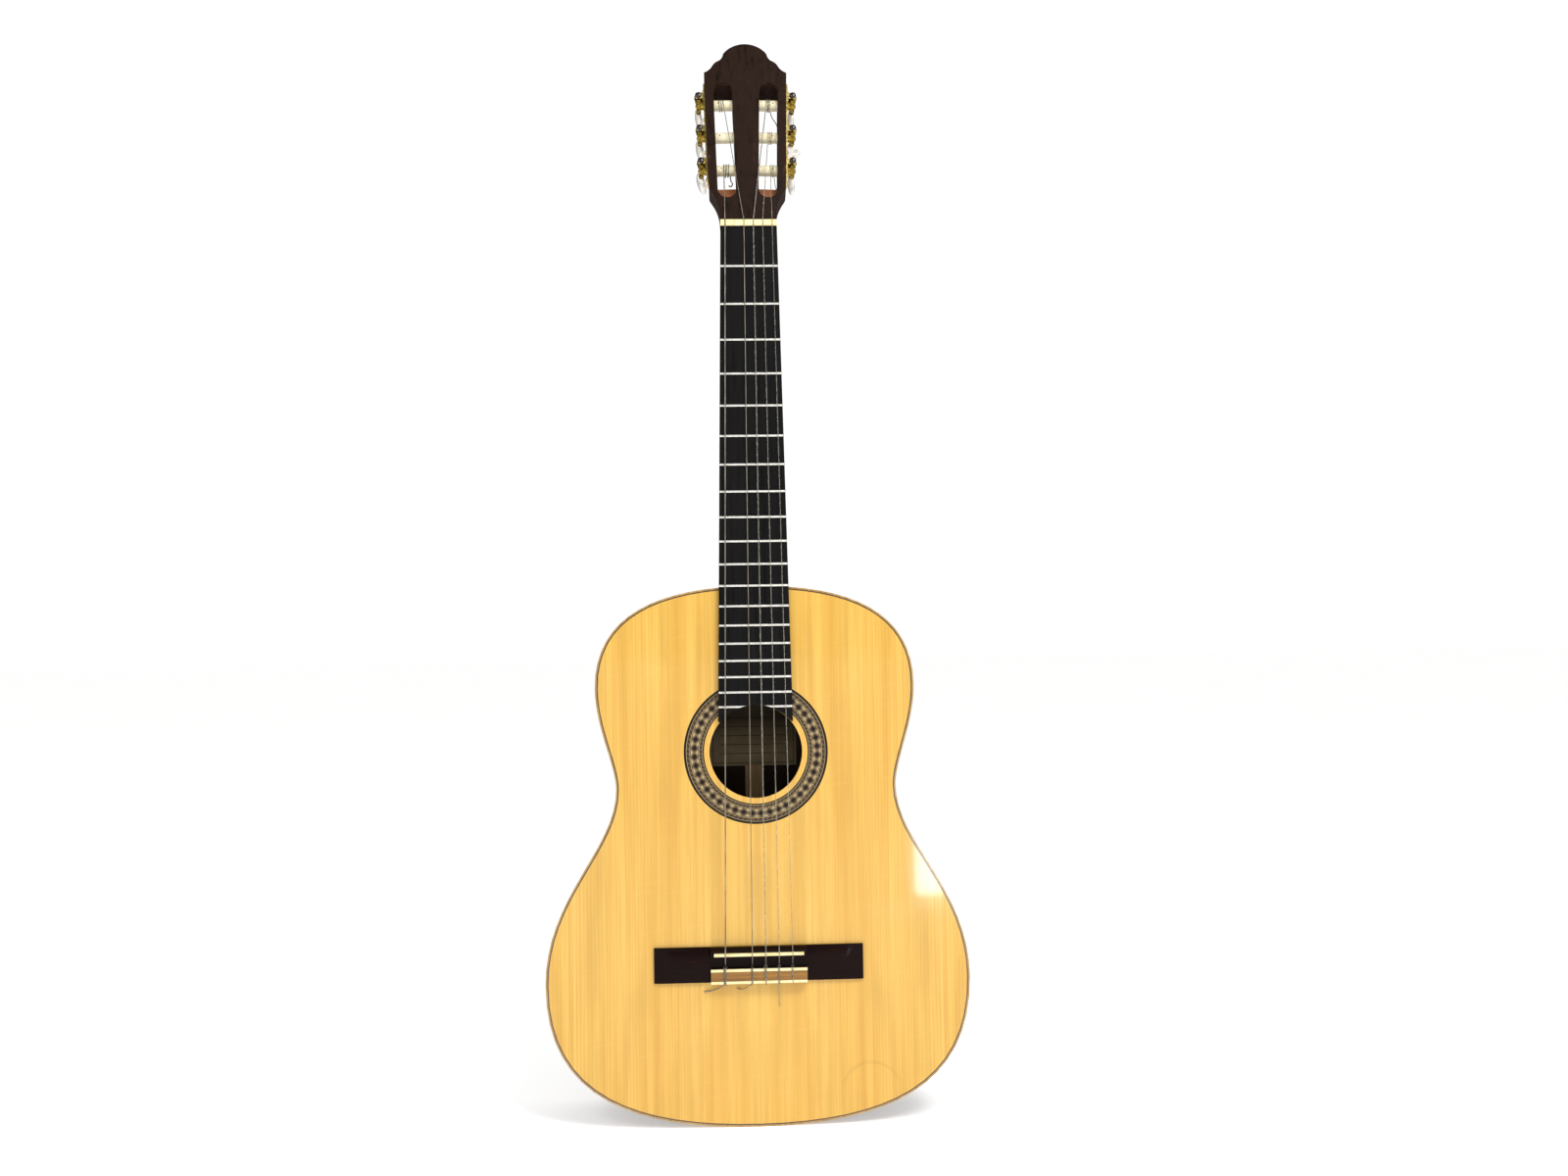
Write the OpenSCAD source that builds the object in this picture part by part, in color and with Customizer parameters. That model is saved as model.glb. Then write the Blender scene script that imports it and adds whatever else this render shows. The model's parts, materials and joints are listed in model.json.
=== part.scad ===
// Classical guitar with a slotted head, tied bridge and six worm-driven tuners.
// Modelled lying face up: X to the right, Y from the tail to the head, Z out of the
// soundboard's outer face. upright() then stands it on its tail with the face to -Y.

/* [Scale and strings] */
// Open string length, from the nut's front face to the saddle
scale_length = 650; // [540:1:780]
// How far the saddle stands past the scale length
saddle_compensation = 1.5; // [0:0.5:4]
// Distance from the first to the sixth string at the nut
nut_string_spread = 42.5; // [35:0.5:46]
// Distance from the first to the sixth string at the saddle
saddle_string_spread = 59.5; // [50:0.5:66]
// Height of the strings' undersides over the glue plane at the nut
nut_string_height = 7.6; // [7.4:0.1:9.5]
// Height of the saddle's crest over the soundboard
saddle_height = 12.4; // [11.5:0.1:15]
// Diameters of the strings, from the first to the sixth
string_diameters = [0.71, 0.82, 1.03, 0.76, 0.9, 1.1];

/* [Body outline] */
// Length of the body, from the tail to the neck joint
body_length = 480; // [430:1:576]
// Depth of the body over the top and the back
body_depth = 95; // [79:1:114]
// Width across the lower bout
lower_bout_width = 378; // [340:1:456]
// Height of the lower bout's widest line over the tail
lower_bout_y = 128; // [115:1:140]
// Width across the waist
waist_width = 250; // [210:1:290]
// Height of the waist over the tail
waist_y = 300; // [285:1:315]
// Width across the upper bout
upper_bout_width = 286; // [262:1:330]
// Height of the upper bout's widest line over the tail
upper_bout_y = 390; // [375:1:405]
// Curve handle along the tail
tail_handle = 109; // [90:1:120]
// Curve handle below the lower bout
lower_bout_fall = 100; // [80:1:105]
// Curve handle above the lower bout
lower_bout_rise = 79; // [60:1:90]
// Curve handle below the waist
waist_fall = 53; // [40:1:70]
// Curve handle above the waist
waist_rise = 22; // [15:1:35]
// Curve handle below the upper bout
upper_bout_fall = 35; // [20:1:45]
// Curve handle above the upper bout
upper_bout_rise = 65; // [45:1:68]
// Curve handle along the top of the body
shoulder_handle = 87; // [70:1:100]

/* [Body shell] */
// Soundboard thickness
top_thickness = 2.5; // [2:0.1:3.5]
// Back thickness
back_thickness = 2.8; // [2.2:0.1:3.5]
// Rib thickness
rib_thickness = 2.3; // [2:0.1:3]
// Binding width
binding_width = 1.5; // [1:0.1:1.8]
// Binding height
binding_height = 5; // [4:0.5:7]
// Width of the dark line inside the top binding
purfling_width = 1.1; // [0.8:0.1:2]
// Width of the inlay down the middle of the back
back_inlay_width = 5; // [3:0.5:10]
// Width of the strip let into the tail
end_graft_width = 12; // [6:1:20]
// Width of the linings
lining_width = 6; // [4:0.5:8]
// Height of the linings
lining_height = 14; // [10:1:18]
// Width of the tail block
tail_block_width = 76; // [50:1:90]
// Thickness of the tail block
tail_block_depth = 16; // [12:1:22]

/* [Sound hole] */
// Radius of the sound hole
hole_radius = 41.5; // [37:0.5:50]
// Distance from the top of the body down to the hole's centre
hole_drop = 148.5; // [140:0.5:160]
// Plain ring of soundboard between the hole and the rosette
rosette_margin = 5; // [3:0.5:8]
// Width of the rosette
rosette_width = 18; // [10:0.5:22]
// Depth of the rosette's channel
rosette_depth = 1.2; // [0.6:0.1:1.5]
// Gap between the hole's edge and the fingerboard's curved end
board_end_gap = 0.2; // [0.2:0.1:3]

/* [Bracing] */
// Width of the harmonic bars
harmonic_bar_width = 7; // [5:0.5:10]
// Height of the harmonic bars
harmonic_bar_height = 16; // [12:1:20]
// Gap from the hole's edge to each harmonic bar
harmonic_bar_gap = 14; // [8:1:20]
// Number of fan struts on each side of the middle one
fan_pairs = 3; // [1:1:3]
// Spacing of the fan struts at the harmonic bar
fan_top_spacing = 17; // [13:1:20]
// Spacing of the fan struts at the tail
fan_tail_spacing = 36; // [26:1:38]
// Width of a fan strut
fan_width = 5; // [4:0.5:7]
// Height of a fan strut
fan_height = 4.5; // [3:0.5:6]
// Heights of the back braces over the tail
back_brace_y = [96, 208, 404];
// Width of a back brace
back_brace_width = 8; // [6:0.5:12]
// Height of a back brace
back_brace_height = 14; // [10:1:18]
// Width of the strip glued inside along the back's joint
centre_strip_width = 16; // [10:1:24]
// Thickness of that strip
centre_strip_thickness = 2; // [1:0.5:3]
// Width of the paper label
label_width = 82; // [60:1:90]
// Height of the paper label
label_height = 60; // [40:1:70]
// Distance from the hole's centre down to the label's lower edge
label_drop = 20; // [10:1:30]

/* [Neck] */
// Fingerboard width at the nut
nut_width = 51; // [48:0.1:61.2]
// Fingerboard width at the twelfth fret
twelfth_width = 62.4; // [58:0.1:70]
// Fingerboard thickness
board_thickness = 6; // [5.5:0.1:6.4]
// Fret crown height
fret_height = 1; // [0.7:0.1:1.1]
// Fret crown width
fret_width = 2.2; // [1.8:0.1:2.6]
// Number of frets
fret_count = 19; // [12:1:19]
// Nut length along the strings
nut_length = 5.5; // [4:0.5:7]
// Nut height over the glue plane
nut_height = 8.8; // [8.6:0.1:11]
// Depth of the neck below the glue plane at the nut
neck_depth_nut = 15.5; // [13:0.5:18]
// Depth of the neck below the glue plane at the heel
neck_depth_heel = 17.5; // [15:0.5:20]
// Half width of the heel where it meets the neck
heel_root_half_width = 27; // [24:0.5:29]
// Half width of the heel at its cap
heel_cap_half_width = 12; // [9:0.5:16]
// How far the heel cap stands out from the body
heel_cap_length = 25; // [18:1:32]
// How far the heel's curve would run along the glue plane
heel_reach = 150; // [120:1:180]
// Heel cap thickness
heel_cap_thickness = 2.5; // [2:0.5:4]
// Half width of the foot inside the body
foot_half_width = 31; // [26:1:36]
// Length of the foot's block inside the body
foot_block = 26; // [20:1:32]
// Length of the foot's plate under the soundboard
foot_plate = 48; // [35:1:55]

/* [Head] */
// Angle of the head behind the fingerboard
head_angle = 15; // [12:0.5:17]
// Thickness of the head without its face plate
head_thickness = 17.5; // [15:0.5:20]
// Thickness of the face plate
head_plate_thickness = 2.5; // [1.5:0.5:4]
// Angle by which each side of the head opens towards the crest
head_splay = 1.5; // [0:0.25:2.5]
// Half width of the head's side line carried down to the nut
side_root = 34.5; // [34:0.5:40]
// Length of the curve that widens the neck into the head
flare_length = 34; // [28:1:36]
// Length of the head's straight sides from the nut
corner_length = 157; // [152:1:165]
// Half widths of the crest's steps
crest_half_widths = [31, 24.5, 20.5, 0];
// Lengths of the crest's steps from the nut
crest_lengths = [164, 170.2, 177.5, 188.5];
// Bulge of each crest step, inwards when negative
crest_bulges = [-1, 0.9, -0.9, 2.9];
// Slot width
slot_width = 17.2; // [15:0.1:18]
// Half distance between the slots' middle lines at the nut
slot_root = 17.8; // [17:0.1:20]
// Start of the slots from the nut
slot_start = 24; // [20:0.5:26]
// End of the slots from the nut
slot_end = 146; // [143:0.5:148]
// How far the slots' end walls lean in, from the face to the back of the head
slot_end_lean = 7; // [5:0.5:9]
// Length of the ramp at the start of each slot
ramp_length = 16; // [12:1:20]
// Depth at which each ramp starts, below the face plate
ramp_step = 1.5; // [0.5:0.5:4]

/* [Tuners] */
// Distance from the nut to the first roller
first_roller = 57; // [54:0.5:58]
// Spacing of the rollers
roller_spacing = 35; // [29:0.5:36]
// Depth of the roller axes below the head's face
roller_depth = 10; // [8:0.5:11]
// Roller radius
roller_radius = 5; // [4:0.1:5.5]
// Length of a roller
roller_length = 31; // [29:0.5:33]
// Running clearance on the radius of rollers, hubs and shafts
running_clearance = 0.05; // [0.02:0.01:0.09]
// Radius of the string hole in a roller
string_hole_radius = 0.9; // [0.7:0.1:1.2]
// Tooth size, as pitch diameter over teeth
gear_module = 0.72; // [0.66:0.01:0.76]
// Number of gear teeth
gear_teeth = 14; // [14:1:14]
// Gear width
gear_width = 3.4; // [2.5:0.1:4]
// Pitch radius of the worm
worm_pitch_radius = 3.26; // [3.1:0.02:3.5]
// Length of the worm's thread
worm_length = 7; // [6:0.5:7.5]
// Distance from the plate's back to the worm's axis
worm_offset = 6.1; // [5.8:0.1:7]
// Shaft radius
shaft_radius = 1.7; // [1.4:0.1:1.9]
// Radius of the round cap on the front of each worm
worm_cap_radius = 3.1; // [2.5:0.1:3.4]
// Tuner plate thickness
plate_thickness = 1.3; // [1:0.1:1.5]
// Tuner plate width
plate_width = 13; // [12.6:0.1:14.5]
// Thickness of the lugs that hold each worm
lug_thickness = 1.5; // [1.2:0.1:2]
// Distance from the head's face to the start of each button
button_start = 32; // [29:0.5:36]
// Button length
button_length = 22; // [18:0.5:24]
// Button width
button_width = 18; // [14:0.5:20]
// Button thickness
button_thickness = 5.8; // [5:0.1:7]
// Rest angles of the buttons, from the first to the sixth
button_turns = [12, 88, 4, -14, -18, -24];

/* [Bridge] */
// Bridge length
bridge_length = 186; // [160:1:200]
// Bridge width
bridge_width = 31; // [28:0.5:34]
// Thickness of the bridge's wings
wing_thickness = 4; // [3:0.5:5]
// Thickness of the wings at their ends
wing_end_thickness = 2; // [1.5:0.1:3]
// Length of the tie block
tie_block_length = 85.4; // [76:0.2:92]
// Width of the tie block
tie_block_width = 13; // [11:0.5:14]
// Height of the tie block
tie_block_height = 9.5; // [8.5:0.1:10]
// Height of the ridge that holds the saddle
ridge_height = 8.4; // [8:0.1:8.6]
// Width of the ridge that holds the saddle
ridge_width = 10.5; // [9:0.5:11]
// Saddle length
saddle_length = 79.6; // [70:0.2:82]
// Saddle thickness
saddle_thickness = 2.6; // [2.5:0.1:4]
// Wood left under the saddle
saddle_floor = 2.6; // [1.5:0.1:3]
// Width of the strips on the tie block
tie_strip_width = 2.4; // [2:0.1:4]
// Thickness of the strips on the tie block
tie_strip_thickness = 1.5; // [1:0.1:2]
// Height of the tie holes over the soundboard
tie_hole_height = 4.6; // [4:0.1:5]
// Radius of the tie holes
tie_hole_radius = 1; // [0.8:0.1:1.2]

/* [Hidden] */

$fn = 48;
// Overlap that lets a cut run clear of a face
over = 1;
// Straight pieces in each of the body outline's four curves
curve_steps = 16;
// Half the body's length, which tells the tail's joints from the neck's
mid_y = body_length / 2;

// Places along the strings
nut_y = body_length + scale_length / 2;
saddle_y = nut_y - scale_length - saddle_compensation;
hole_y = body_length - hole_drop;
board_end_radius = hole_radius + board_end_gap;
board_taper = (twelfth_width - nut_width) / scale_length;

// Levels under the soundboard's outer face
back_inside = -(body_depth - back_thickness);
thickest_string = max(string_diameters);
front_reach = saddle_height + thickest_string;
face_y = (front_reach - body_depth) / 2;

// Places where one piece has to clear or meet another
web_half_width = 6; // half the thickness of the heel's web between the ribs
closing_start = 46; // height over the tail at which the closing bars would meet
closing_slope = 0.42; // rise of the closing bars towards the sides
neck_blend = 32; // length over which the neck's section turns square before the nut
board_side_drop = 27; // how far over the hole's centre the fingerboard's corners end
fret_inset = 0.3; // how far the frets' ends stay inside the fingerboard's edge
roller_end_gap = 0.15; // gap between a roller's end and the head's side
string_gap = 0.15; // gap between a string and its roller
string_rest = 0.02; // gap between a string and what it lies on
shaft_in_button = 12; // length of shaft inside a button
button_slack = 0.02; // slack on the radius of the shaft's hole in a button

function half_board(y) = nut_width / 2 + board_taper * (nut_y - y);

// ---- Curves -------------------------------------------------------------------

// Points of a cubic curve, without its last point
function cubic(a, b, c, d, steps) = [
    for (i = [0:steps - 1])
        let (t = i / steps, u = 1 - t)
        u * u * u * a + 3 * u * u * t * b + 3 * u * t * t * c + t * t * t * d
];

// Points of a circular arc from a to b with the given bulge to its right, without b
function arc(a, b, bulge, steps) =
    let (
        chord = norm(b - a),
        radius = (chord * chord / 4 + bulge * bulge) / (2 * abs(bulge)),
        along = (b - a) / chord,
        side = [along.y, -along.x] * sign(bulge),
        centre = (a + b) / 2 + side * (abs(bulge) - radius),
        half = asin(chord / 2 / radius)
    )
    [for (i = [0:steps - 1])
        let (w = -half + 2 * half * i / steps)
        centre + radius * (sin(w) * along + cos(w) * side)];

// Right half of the body's outline, from the tail to the top
half_outline = concat(
    cubic([0, 0], [tail_handle, 0],
        [lower_bout_width / 2, lower_bout_y - lower_bout_fall],
        [lower_bout_width / 2, lower_bout_y], curve_steps),
    cubic([lower_bout_width / 2, lower_bout_y],
        [lower_bout_width / 2, lower_bout_y + lower_bout_rise],
        [waist_width / 2, waist_y - waist_fall],
        [waist_width / 2, waist_y], curve_steps),
    cubic([waist_width / 2, waist_y],
        [waist_width / 2, waist_y + waist_rise],
        [upper_bout_width / 2, upper_bout_y - upper_bout_fall],
        [upper_bout_width / 2, upper_bout_y], curve_steps),
    cubic([upper_bout_width / 2, upper_bout_y],
        [upper_bout_width / 2, upper_bout_y + upper_bout_rise],
        [shoulder_handle, body_length],
        [0, body_length], curve_steps),
    [[0, body_length]]
);
outline = concat(
    half_outline,
    [for (i = [len(half_outline) - 2:-1:1]) [-half_outline[i].x, half_outline[i].y]]
);

// The outline moved inwards
function rim(inset) = [
    for (i = [0:len(outline) - 1])
        let (
            before = outline[(i + len(outline) - 1) % len(outline)],
            after = outline[(i + 1) % len(outline)],
            along = (after - before) / norm(after - before)
        )
        outline[i] + inset * [-along.y, along.x]
];

// ---- Shared solids --------------------------------------------------------------

// Stands the model up on its tail, centred front to back
module upright() {
    translate([0, face_y, 0])
        rotate([90, 0, 0])
            children();
}

// A slab of the body's outline between two levels
module rim_slab(inset, low, high) {
    translate([0, 0, low])
        linear_extrude(high - low)
            polygon(rim(inset));
}

// A band that follows the outline between two insets and two levels
module rim_band(outer, inner, low, high) {
    difference() {
        rim_slab(outer, low, high);
        rim_slab(inner, low - over, high + over);
    }
}

// A box centred on X, from one length along the body to another
module block(half_width, y_low, y_high, low, high) {
    translate([-half_width, y_low, low])
        cube([2 * half_width, y_high - y_low, high - low]);
}

// The whole rib wall, stepped where the bindings are let in
module rib_wall() {
    rim_band(0, rib_thickness, -(body_depth - binding_height), -binding_height);
    rim_band(binding_width, rib_thickness, -binding_height, -top_thickness);
    rim_band(binding_width, rib_thickness, back_inside, -(body_depth - binding_height));
}

// A strip of arched section between two points, on a level, standing up or down
module brace(a, b, width, height, level, way) {
    length = norm(b - a);
    section = [
        [-width / 2, 0], [width / 2, 0], [width / 2, way * height * 0.45],
        [width / 5, way * height], [-width / 5, way * height], [-width / 2, way * height * 0.45]
    ];
    translate([a.x, a.y, level])
        rotate([0, 0, atan2(b.y - a.y, b.x - a.x)])
            rotate([90, 0, 90])
                linear_extrude(length)
                    polygon(section);
}

// Skins a list of equal rings into one closed solid
module skin(rings) {
    count = len(rings[0]);
    last = (len(rings) - 1) * count;
    polyhedron(
        points = [for (ring = rings, point = ring) point],
        faces = concat(
            [[for (i = [0:count - 1]) i]],
            [[for (i = [count - 1:-1:0]) last + i]],
            [for (r = [0:len(rings) - 2], i = [0:count - 1], half = [0, 1])
                let (
                    a = r * count + i,
                    b = r * count + (i + 1) % count
                )
                half == 0 ? [a, a + count, b] : [b, a + count, b + count]]
        )
    );
}

// ---- Body -------------------------------------------------------------------------

module soundboard() {
    color("#e8bb62") upright() difference() {
        rim_slab(binding_width + purfling_width, -top_thickness, 0);
        translate([0, hole_y, -top_thickness - over])
            cylinder(r = hole_radius, h = top_thickness + 2 * over, $fn = 96);
        translate([0, hole_y, -rosette_depth])
            rosette_ring(rosette_depth + over);
    }
}

module rosette_ring(height) {
    inner = hole_radius + rosette_margin;
    difference() {
        cylinder(r = inner + rosette_width, h = height, $fn = 96);
        translate([0, 0, -over])
            cylinder(r = inner, h = height + 2 * over, $fn = 96);
    }
}

module rosette() {
    color("#a8793c") upright()
        translate([0, hole_y, -rosette_depth])
            rosette_ring(rosette_depth);
}

module back_panels() {
    color("#5a2a18") upright() difference() {
        rim_slab(binding_width, -body_depth, back_inside);
        block(back_inlay_width / 2, -over, body_length + over,
            -body_depth - over, back_inside + over);
    }
}

module back_inlay() {
    color("#d9b06a") upright() intersection() {
        rim_slab(binding_width, -body_depth, back_inside);
        block(back_inlay_width / 2, 0, body_length, -body_depth, back_inside);
    }
}

module back_centre_strip() {
    strip_top = back_inside + centre_strip_thickness;
    label_low = hole_y - label_drop;
    color("#dcc08a") upright() difference() {
        block(centre_strip_width / 2,
            rib_thickness + tail_block_depth, body_length - rib_thickness - foot_block,
            back_inside, strip_top);
        block(centre_strip_width, label_low, label_low + label_height,
            back_inside - over, strip_top + over);
        for (y = back_brace_y)
            block(centre_strip_width, y - back_brace_width / 2, y + back_brace_width / 2,
                back_inside - over, strip_top + over);
    }
}

module label() {
    low = hole_y - label_drop;
    color("#e9dfc4") upright()
        block(label_width / 2, low, low + label_height, back_inside, back_inside + 0.3);
}

// All the body on one side, further from the middle than a gap
module beyond(way, gap, y_low, y_high) {
    translate([way > 0 ? gap : -gap - lower_bout_width, y_low, -body_depth])
        cube([lower_bout_width, y_high - y_low, body_depth]);
}

// One rib, from the tail graft to the heel's web
module side(way) {
    color("#6b3420") upright() intersection() {
        rib_wall();
        union() {
            beyond(way, end_graft_width / 2, -over, mid_y);
            beyond(way, web_half_width, mid_y, body_length + over);
        }
    }
}

module end_graft() {
    color("#d9b06a") upright() intersection() {
        rib_wall();
        block(end_graft_width / 2, -over, mid_y, -body_depth, 0);
    }
}

module tail_block() {
    color("#c99a5e") upright() intersection() {
        rim_slab(rib_thickness, back_inside, -top_thickness);
        block(tail_block_width / 2, 0, rib_thickness + tail_block_depth, -body_depth, 0);
    }
}

// A lining under the top or over the back, open at the tail block and the foot
module lining(low, high) {
    difference() {
        rim_band(rib_thickness, rib_thickness + lining_width, low, high);
        block(tail_block_width / 2, -over, mid_y, low - over, high + over);
        block(foot_half_width, mid_y, body_length + over, low - over, high + over);
    }
}

module top_linings() {
    color("#d2a869") upright()
        lining(-top_thickness - lining_height, -top_thickness);
}

module back_linings() {
    color("#d2a869") upright()
        lining(back_inside, back_inside + lining_height);
}

module top_binding() {
    color("#8a5a2e") upright()
        rim_band(0, binding_width, -binding_height, 0);
}

module back_binding() {
    color("#8a5a2e") upright()
        rim_band(0, binding_width, -body_depth, -body_depth + binding_height);
}

module top_purfling() {
    color("#2a1a10") upright()
        rim_band(binding_width, binding_width + purfling_width, -top_thickness, 0);
}

// Space inside the linings, which every brace ends at
module brace_room() {
    rim_slab(rib_thickness + lining_width, back_inside, -top_thickness);
}

module harmonic_bars() {
    reach = hole_radius + harmonic_bar_gap + harmonic_bar_width / 2;
    color("#e0c48c") upright() intersection() {
        brace_room();
        for (way = [-1, 1])
            brace([-lower_bout_width / 2, hole_y + way * reach],
                [lower_bout_width / 2, hole_y + way * reach],
                harmonic_bar_width, harmonic_bar_height, -top_thickness, -1);
    }
}

// Height over the tail of the closing bars' middle line at a distance from the middle
function closing_y(x) = closing_start + closing_slope * abs(x);

module fan_braces() {
    fan_top = hole_y - hole_radius - harmonic_bar_gap - harmonic_bar_width - 2;
    color("#e0c48c") upright() intersection() {
        brace_room();
        union() {
            for (i = [-fan_pairs:fan_pairs])
                brace([i * fan_top_spacing, fan_top],
                    [i * fan_tail_spacing, closing_y(i * fan_tail_spacing) + 2 * fan_width],
                    fan_width, fan_height, -top_thickness, -1);
            for (way = [-1, 1])
                brace([way * fan_width, closing_y(fan_width)],
                    [way * lower_bout_width / 3, closing_y(lower_bout_width / 3)],
                    fan_width, fan_height, -top_thickness, -1);
        }
    }
}

module back_braces() {
    color("#d2a869") upright() intersection() {
        brace_room();
        for (y = back_brace_y)
            brace([-lower_bout_width / 2, y], [lower_bout_width / 2, y],
                back_brace_width, back_brace_height, back_inside, 1);
    }
}

// ---- Neck -----------------------------------------------------------------------

// Half outline of the heel at a level, as a tongue that starts inside the body
function tongue(half_width, length, level) = concat(
    [[half_width, body_length - 2 * foot_block / 3, level]],
    [for (w = [0:12:180])
        [half_width * sign(cos(w)) * pow(abs(cos(w)), 0.75),
            body_length + length * pow(sin(w), 0.8), level]],
    [[-half_width, body_length - 2 * foot_block / 3, level]]
);

// Heel sizes at a share of its depth, from 0 at the glue plane to 1 at the cap
function heel_half(u) = heel_cap_half_width
    + (heel_root_half_width - heel_cap_half_width) * pow(1 - u, 1.5);
function heel_length(u) = heel_cap_length
    + (heel_reach - heel_cap_length) * pow(1 - u, 5);

// Level of the joint between the heel and its cap
heel_joint = -(body_depth - heel_cap_thickness);
// Share of the heel's depth at which its skin leaves the neck
heel_first = 0.12;

module heel() {
    steps = 14;
    skin([
        for (i = [steps:-1:0])
            let (u = heel_first + (1 - heel_first) * pow(i / steps, 1.5))
            tongue(heel_half(u), heel_length(u), heel_joint * u)
    ]);
}

// Section of the neck at a length, rounder on the neck and squarer near the head
function neck_ring(y) =
    let (
        share = (y - body_length) / (nut_y - body_length),
        depth = neck_depth_heel + (neck_depth_nut - neck_depth_heel) * share,
        near_head = max(0, min(1, (y - (nut_y - neck_blend)) / neck_blend)),
        full = depth + (head_thickness / cos(head_angle) - depth) * pow(near_head, 2),
        power = 1 - 0.6 * pow(near_head, 1.5)
    )
    [for (w = [0:10:180])
        [half_board(y) * sign(cos(w)) * pow(abs(cos(w)), power), y, -full * pow(sin(w), power)]];

module neck_shaft() {
    start = body_length - foot_block / 2;
    finish = nut_y + nut_length + over;
    blend = nut_y - neck_blend;
    skin(concat(
        [for (i = [0:7]) neck_ring(start + (blend - start) * i / 8)],
        [for (i = [0:8]) neck_ring(blend + (finish - blend) * i / 8)]
    ));
}

// Everything on the head's side of the joint behind the nut
module past_nut(size) {
    at_head()
        translate([-size, 0, -size])
            cube([2 * size, size, 2 * size]);
}

module neck() {
    color("#7b4a26") upright() {
        difference() {
            union() {
                neck_shaft();
                heel();
            }
            rim_slab(0, -body_depth - over, over);
            past_nut(3 * head_thickness);
        }
        intersection() {
            rib_wall();
            block(web_half_width, mid_y, body_length + over, -body_depth, 0);
        }
        intersection() {
            rim_slab(rib_thickness, back_inside, -top_thickness);
            union() {
                block(foot_half_width, body_length - foot_block, body_length,
                    back_inside, -top_thickness);
                block(foot_half_width, body_length - foot_plate, body_length,
                    -top_thickness - lining_height, -top_thickness);
            }
        }
    }
}

module heel_cap() {
    shape = [for (p = tongue(heel_cap_half_width, heel_cap_length, 0)) [p.x, p.y]];
    color("#4a2412") upright() difference() {
        translate([0, 0, -body_depth])
            linear_extrude(heel_cap_thickness)
                polygon(shape);
        rim_slab(0, -body_depth - over, over);
    }
}

// Fingerboard plan, ending in an arc round the sound hole
module board_plan(inset) {
    low = hole_y;
    difference() {
        polygon([
            [-half_board(low) + inset, low], [half_board(low) - inset, low],
            [half_board(nut_y) - inset, nut_y], [-half_board(nut_y) + inset, nut_y]
        ]);
        translate([0, hole_y])
            circle(r = board_end_radius + inset, $fn = 96);
        translate([-2 * board_end_radius, hole_y - over])
            square([4 * board_end_radius, over + board_side_drop]);
    }
}

module fingerboard() {
    color("#1d1614") upright()
        linear_extrude(board_thickness)
            board_plan(0);
}

// Height over the tail of a fret's middle line
function fret_y(i) = nut_y - scale_length * (1 - pow(2, -i / 12));

// Fret crown, as a low arch
module fret_section() {
    polygon([for (w = [0:20:180]) [fret_width / 2 * cos(w), fret_height * sin(w)]]);
}

module frets() {
    color("#c9c7c0") upright() intersection() {
        for (i = [1:fret_count])
            translate([-nut_width, fret_y(i), board_thickness])
                rotate([90, 0, 90])
                    linear_extrude(2 * nut_width)
                        fret_section();
        linear_extrude(board_thickness + 2 * fret_height)
            board_plan(fret_inset);
    }
}

// ---- Strings' places ----------------------------------------------------------------

// Strings are numbered from 1 at the right to 6 at the left
function string_radius(n) = string_diameters[n - 1] / 2;
function string_share(n) = (3.5 - n) / 5;
function nut_x(n) = nut_string_spread * string_share(n);
function saddle_x(n) = saddle_string_spread * string_share(n);

module nut() {
    slack = 0.05;
    half = half_board(nut_y);
    color("#efe6cf") upright() difference() {
        translate([-half, nut_y, 0])
            rotate([90, 0, 90])
                linear_extrude(2 * half)
                    polygon([
                        [0, 0], [nut_length, 0], [nut_length, nut_height - 1],
                        [nut_length - 1.2, nut_height - 0.2], [1, nut_height], [0, nut_height - 0.4]
                    ]);
        past_nut(3 * head_thickness);
        for (n = [1:6]) {
            r = string_radius(n) + slack;
            translate([nut_x(n), nut_y - over, nut_string_height + string_radius(n)]) {
                rotate([-90, 0, 0])
                    cylinder(r = r, h = nut_length + 2 * over, $fn = 24);
                translate([-r, 0, 0])
                    cube([2 * r, nut_length + 2 * over, nut_height]);
            }
        }
    }
}

// ---- Bridge ---------------------------------------------------------------------

// Bridge edges along the strings: head side, channel, tie block and tail side
bridge_high = saddle_y + ridge_width / 2 + 0.5;
bridge_low = bridge_high - bridge_width;
ridge_low = saddle_y - ridge_width / 2 + 0.5;
tie_low = bridge_low - 0.4;
tie_high = tie_low + tie_block_width;

module wings() {
    half = bridge_length / 2;
    bevel = 16;
    edge_width = 4;
    edge_height = wing_thickness - 1.2;
    intersection() {
        translate([0, bridge_high, 0])
            rotate([90, 0, 0])
                linear_extrude(bridge_width)
                    polygon([
                        [-half, 0], [half, 0], [half, wing_end_thickness],
                        [half - bevel, wing_thickness], [-half + bevel, wing_thickness],
                        [-half, wing_end_thickness]
                    ]);
        translate([-half, bridge_low, 0])
            rotate([90, 0, 90])
                linear_extrude(bridge_length)
                    polygon([
                        [0, 0], [bridge_width, 0], [bridge_width, edge_height],
                        [bridge_width - edge_width, wing_thickness],
                        [edge_width, wing_thickness], [0, edge_height]
                    ]);
    }
}

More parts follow.
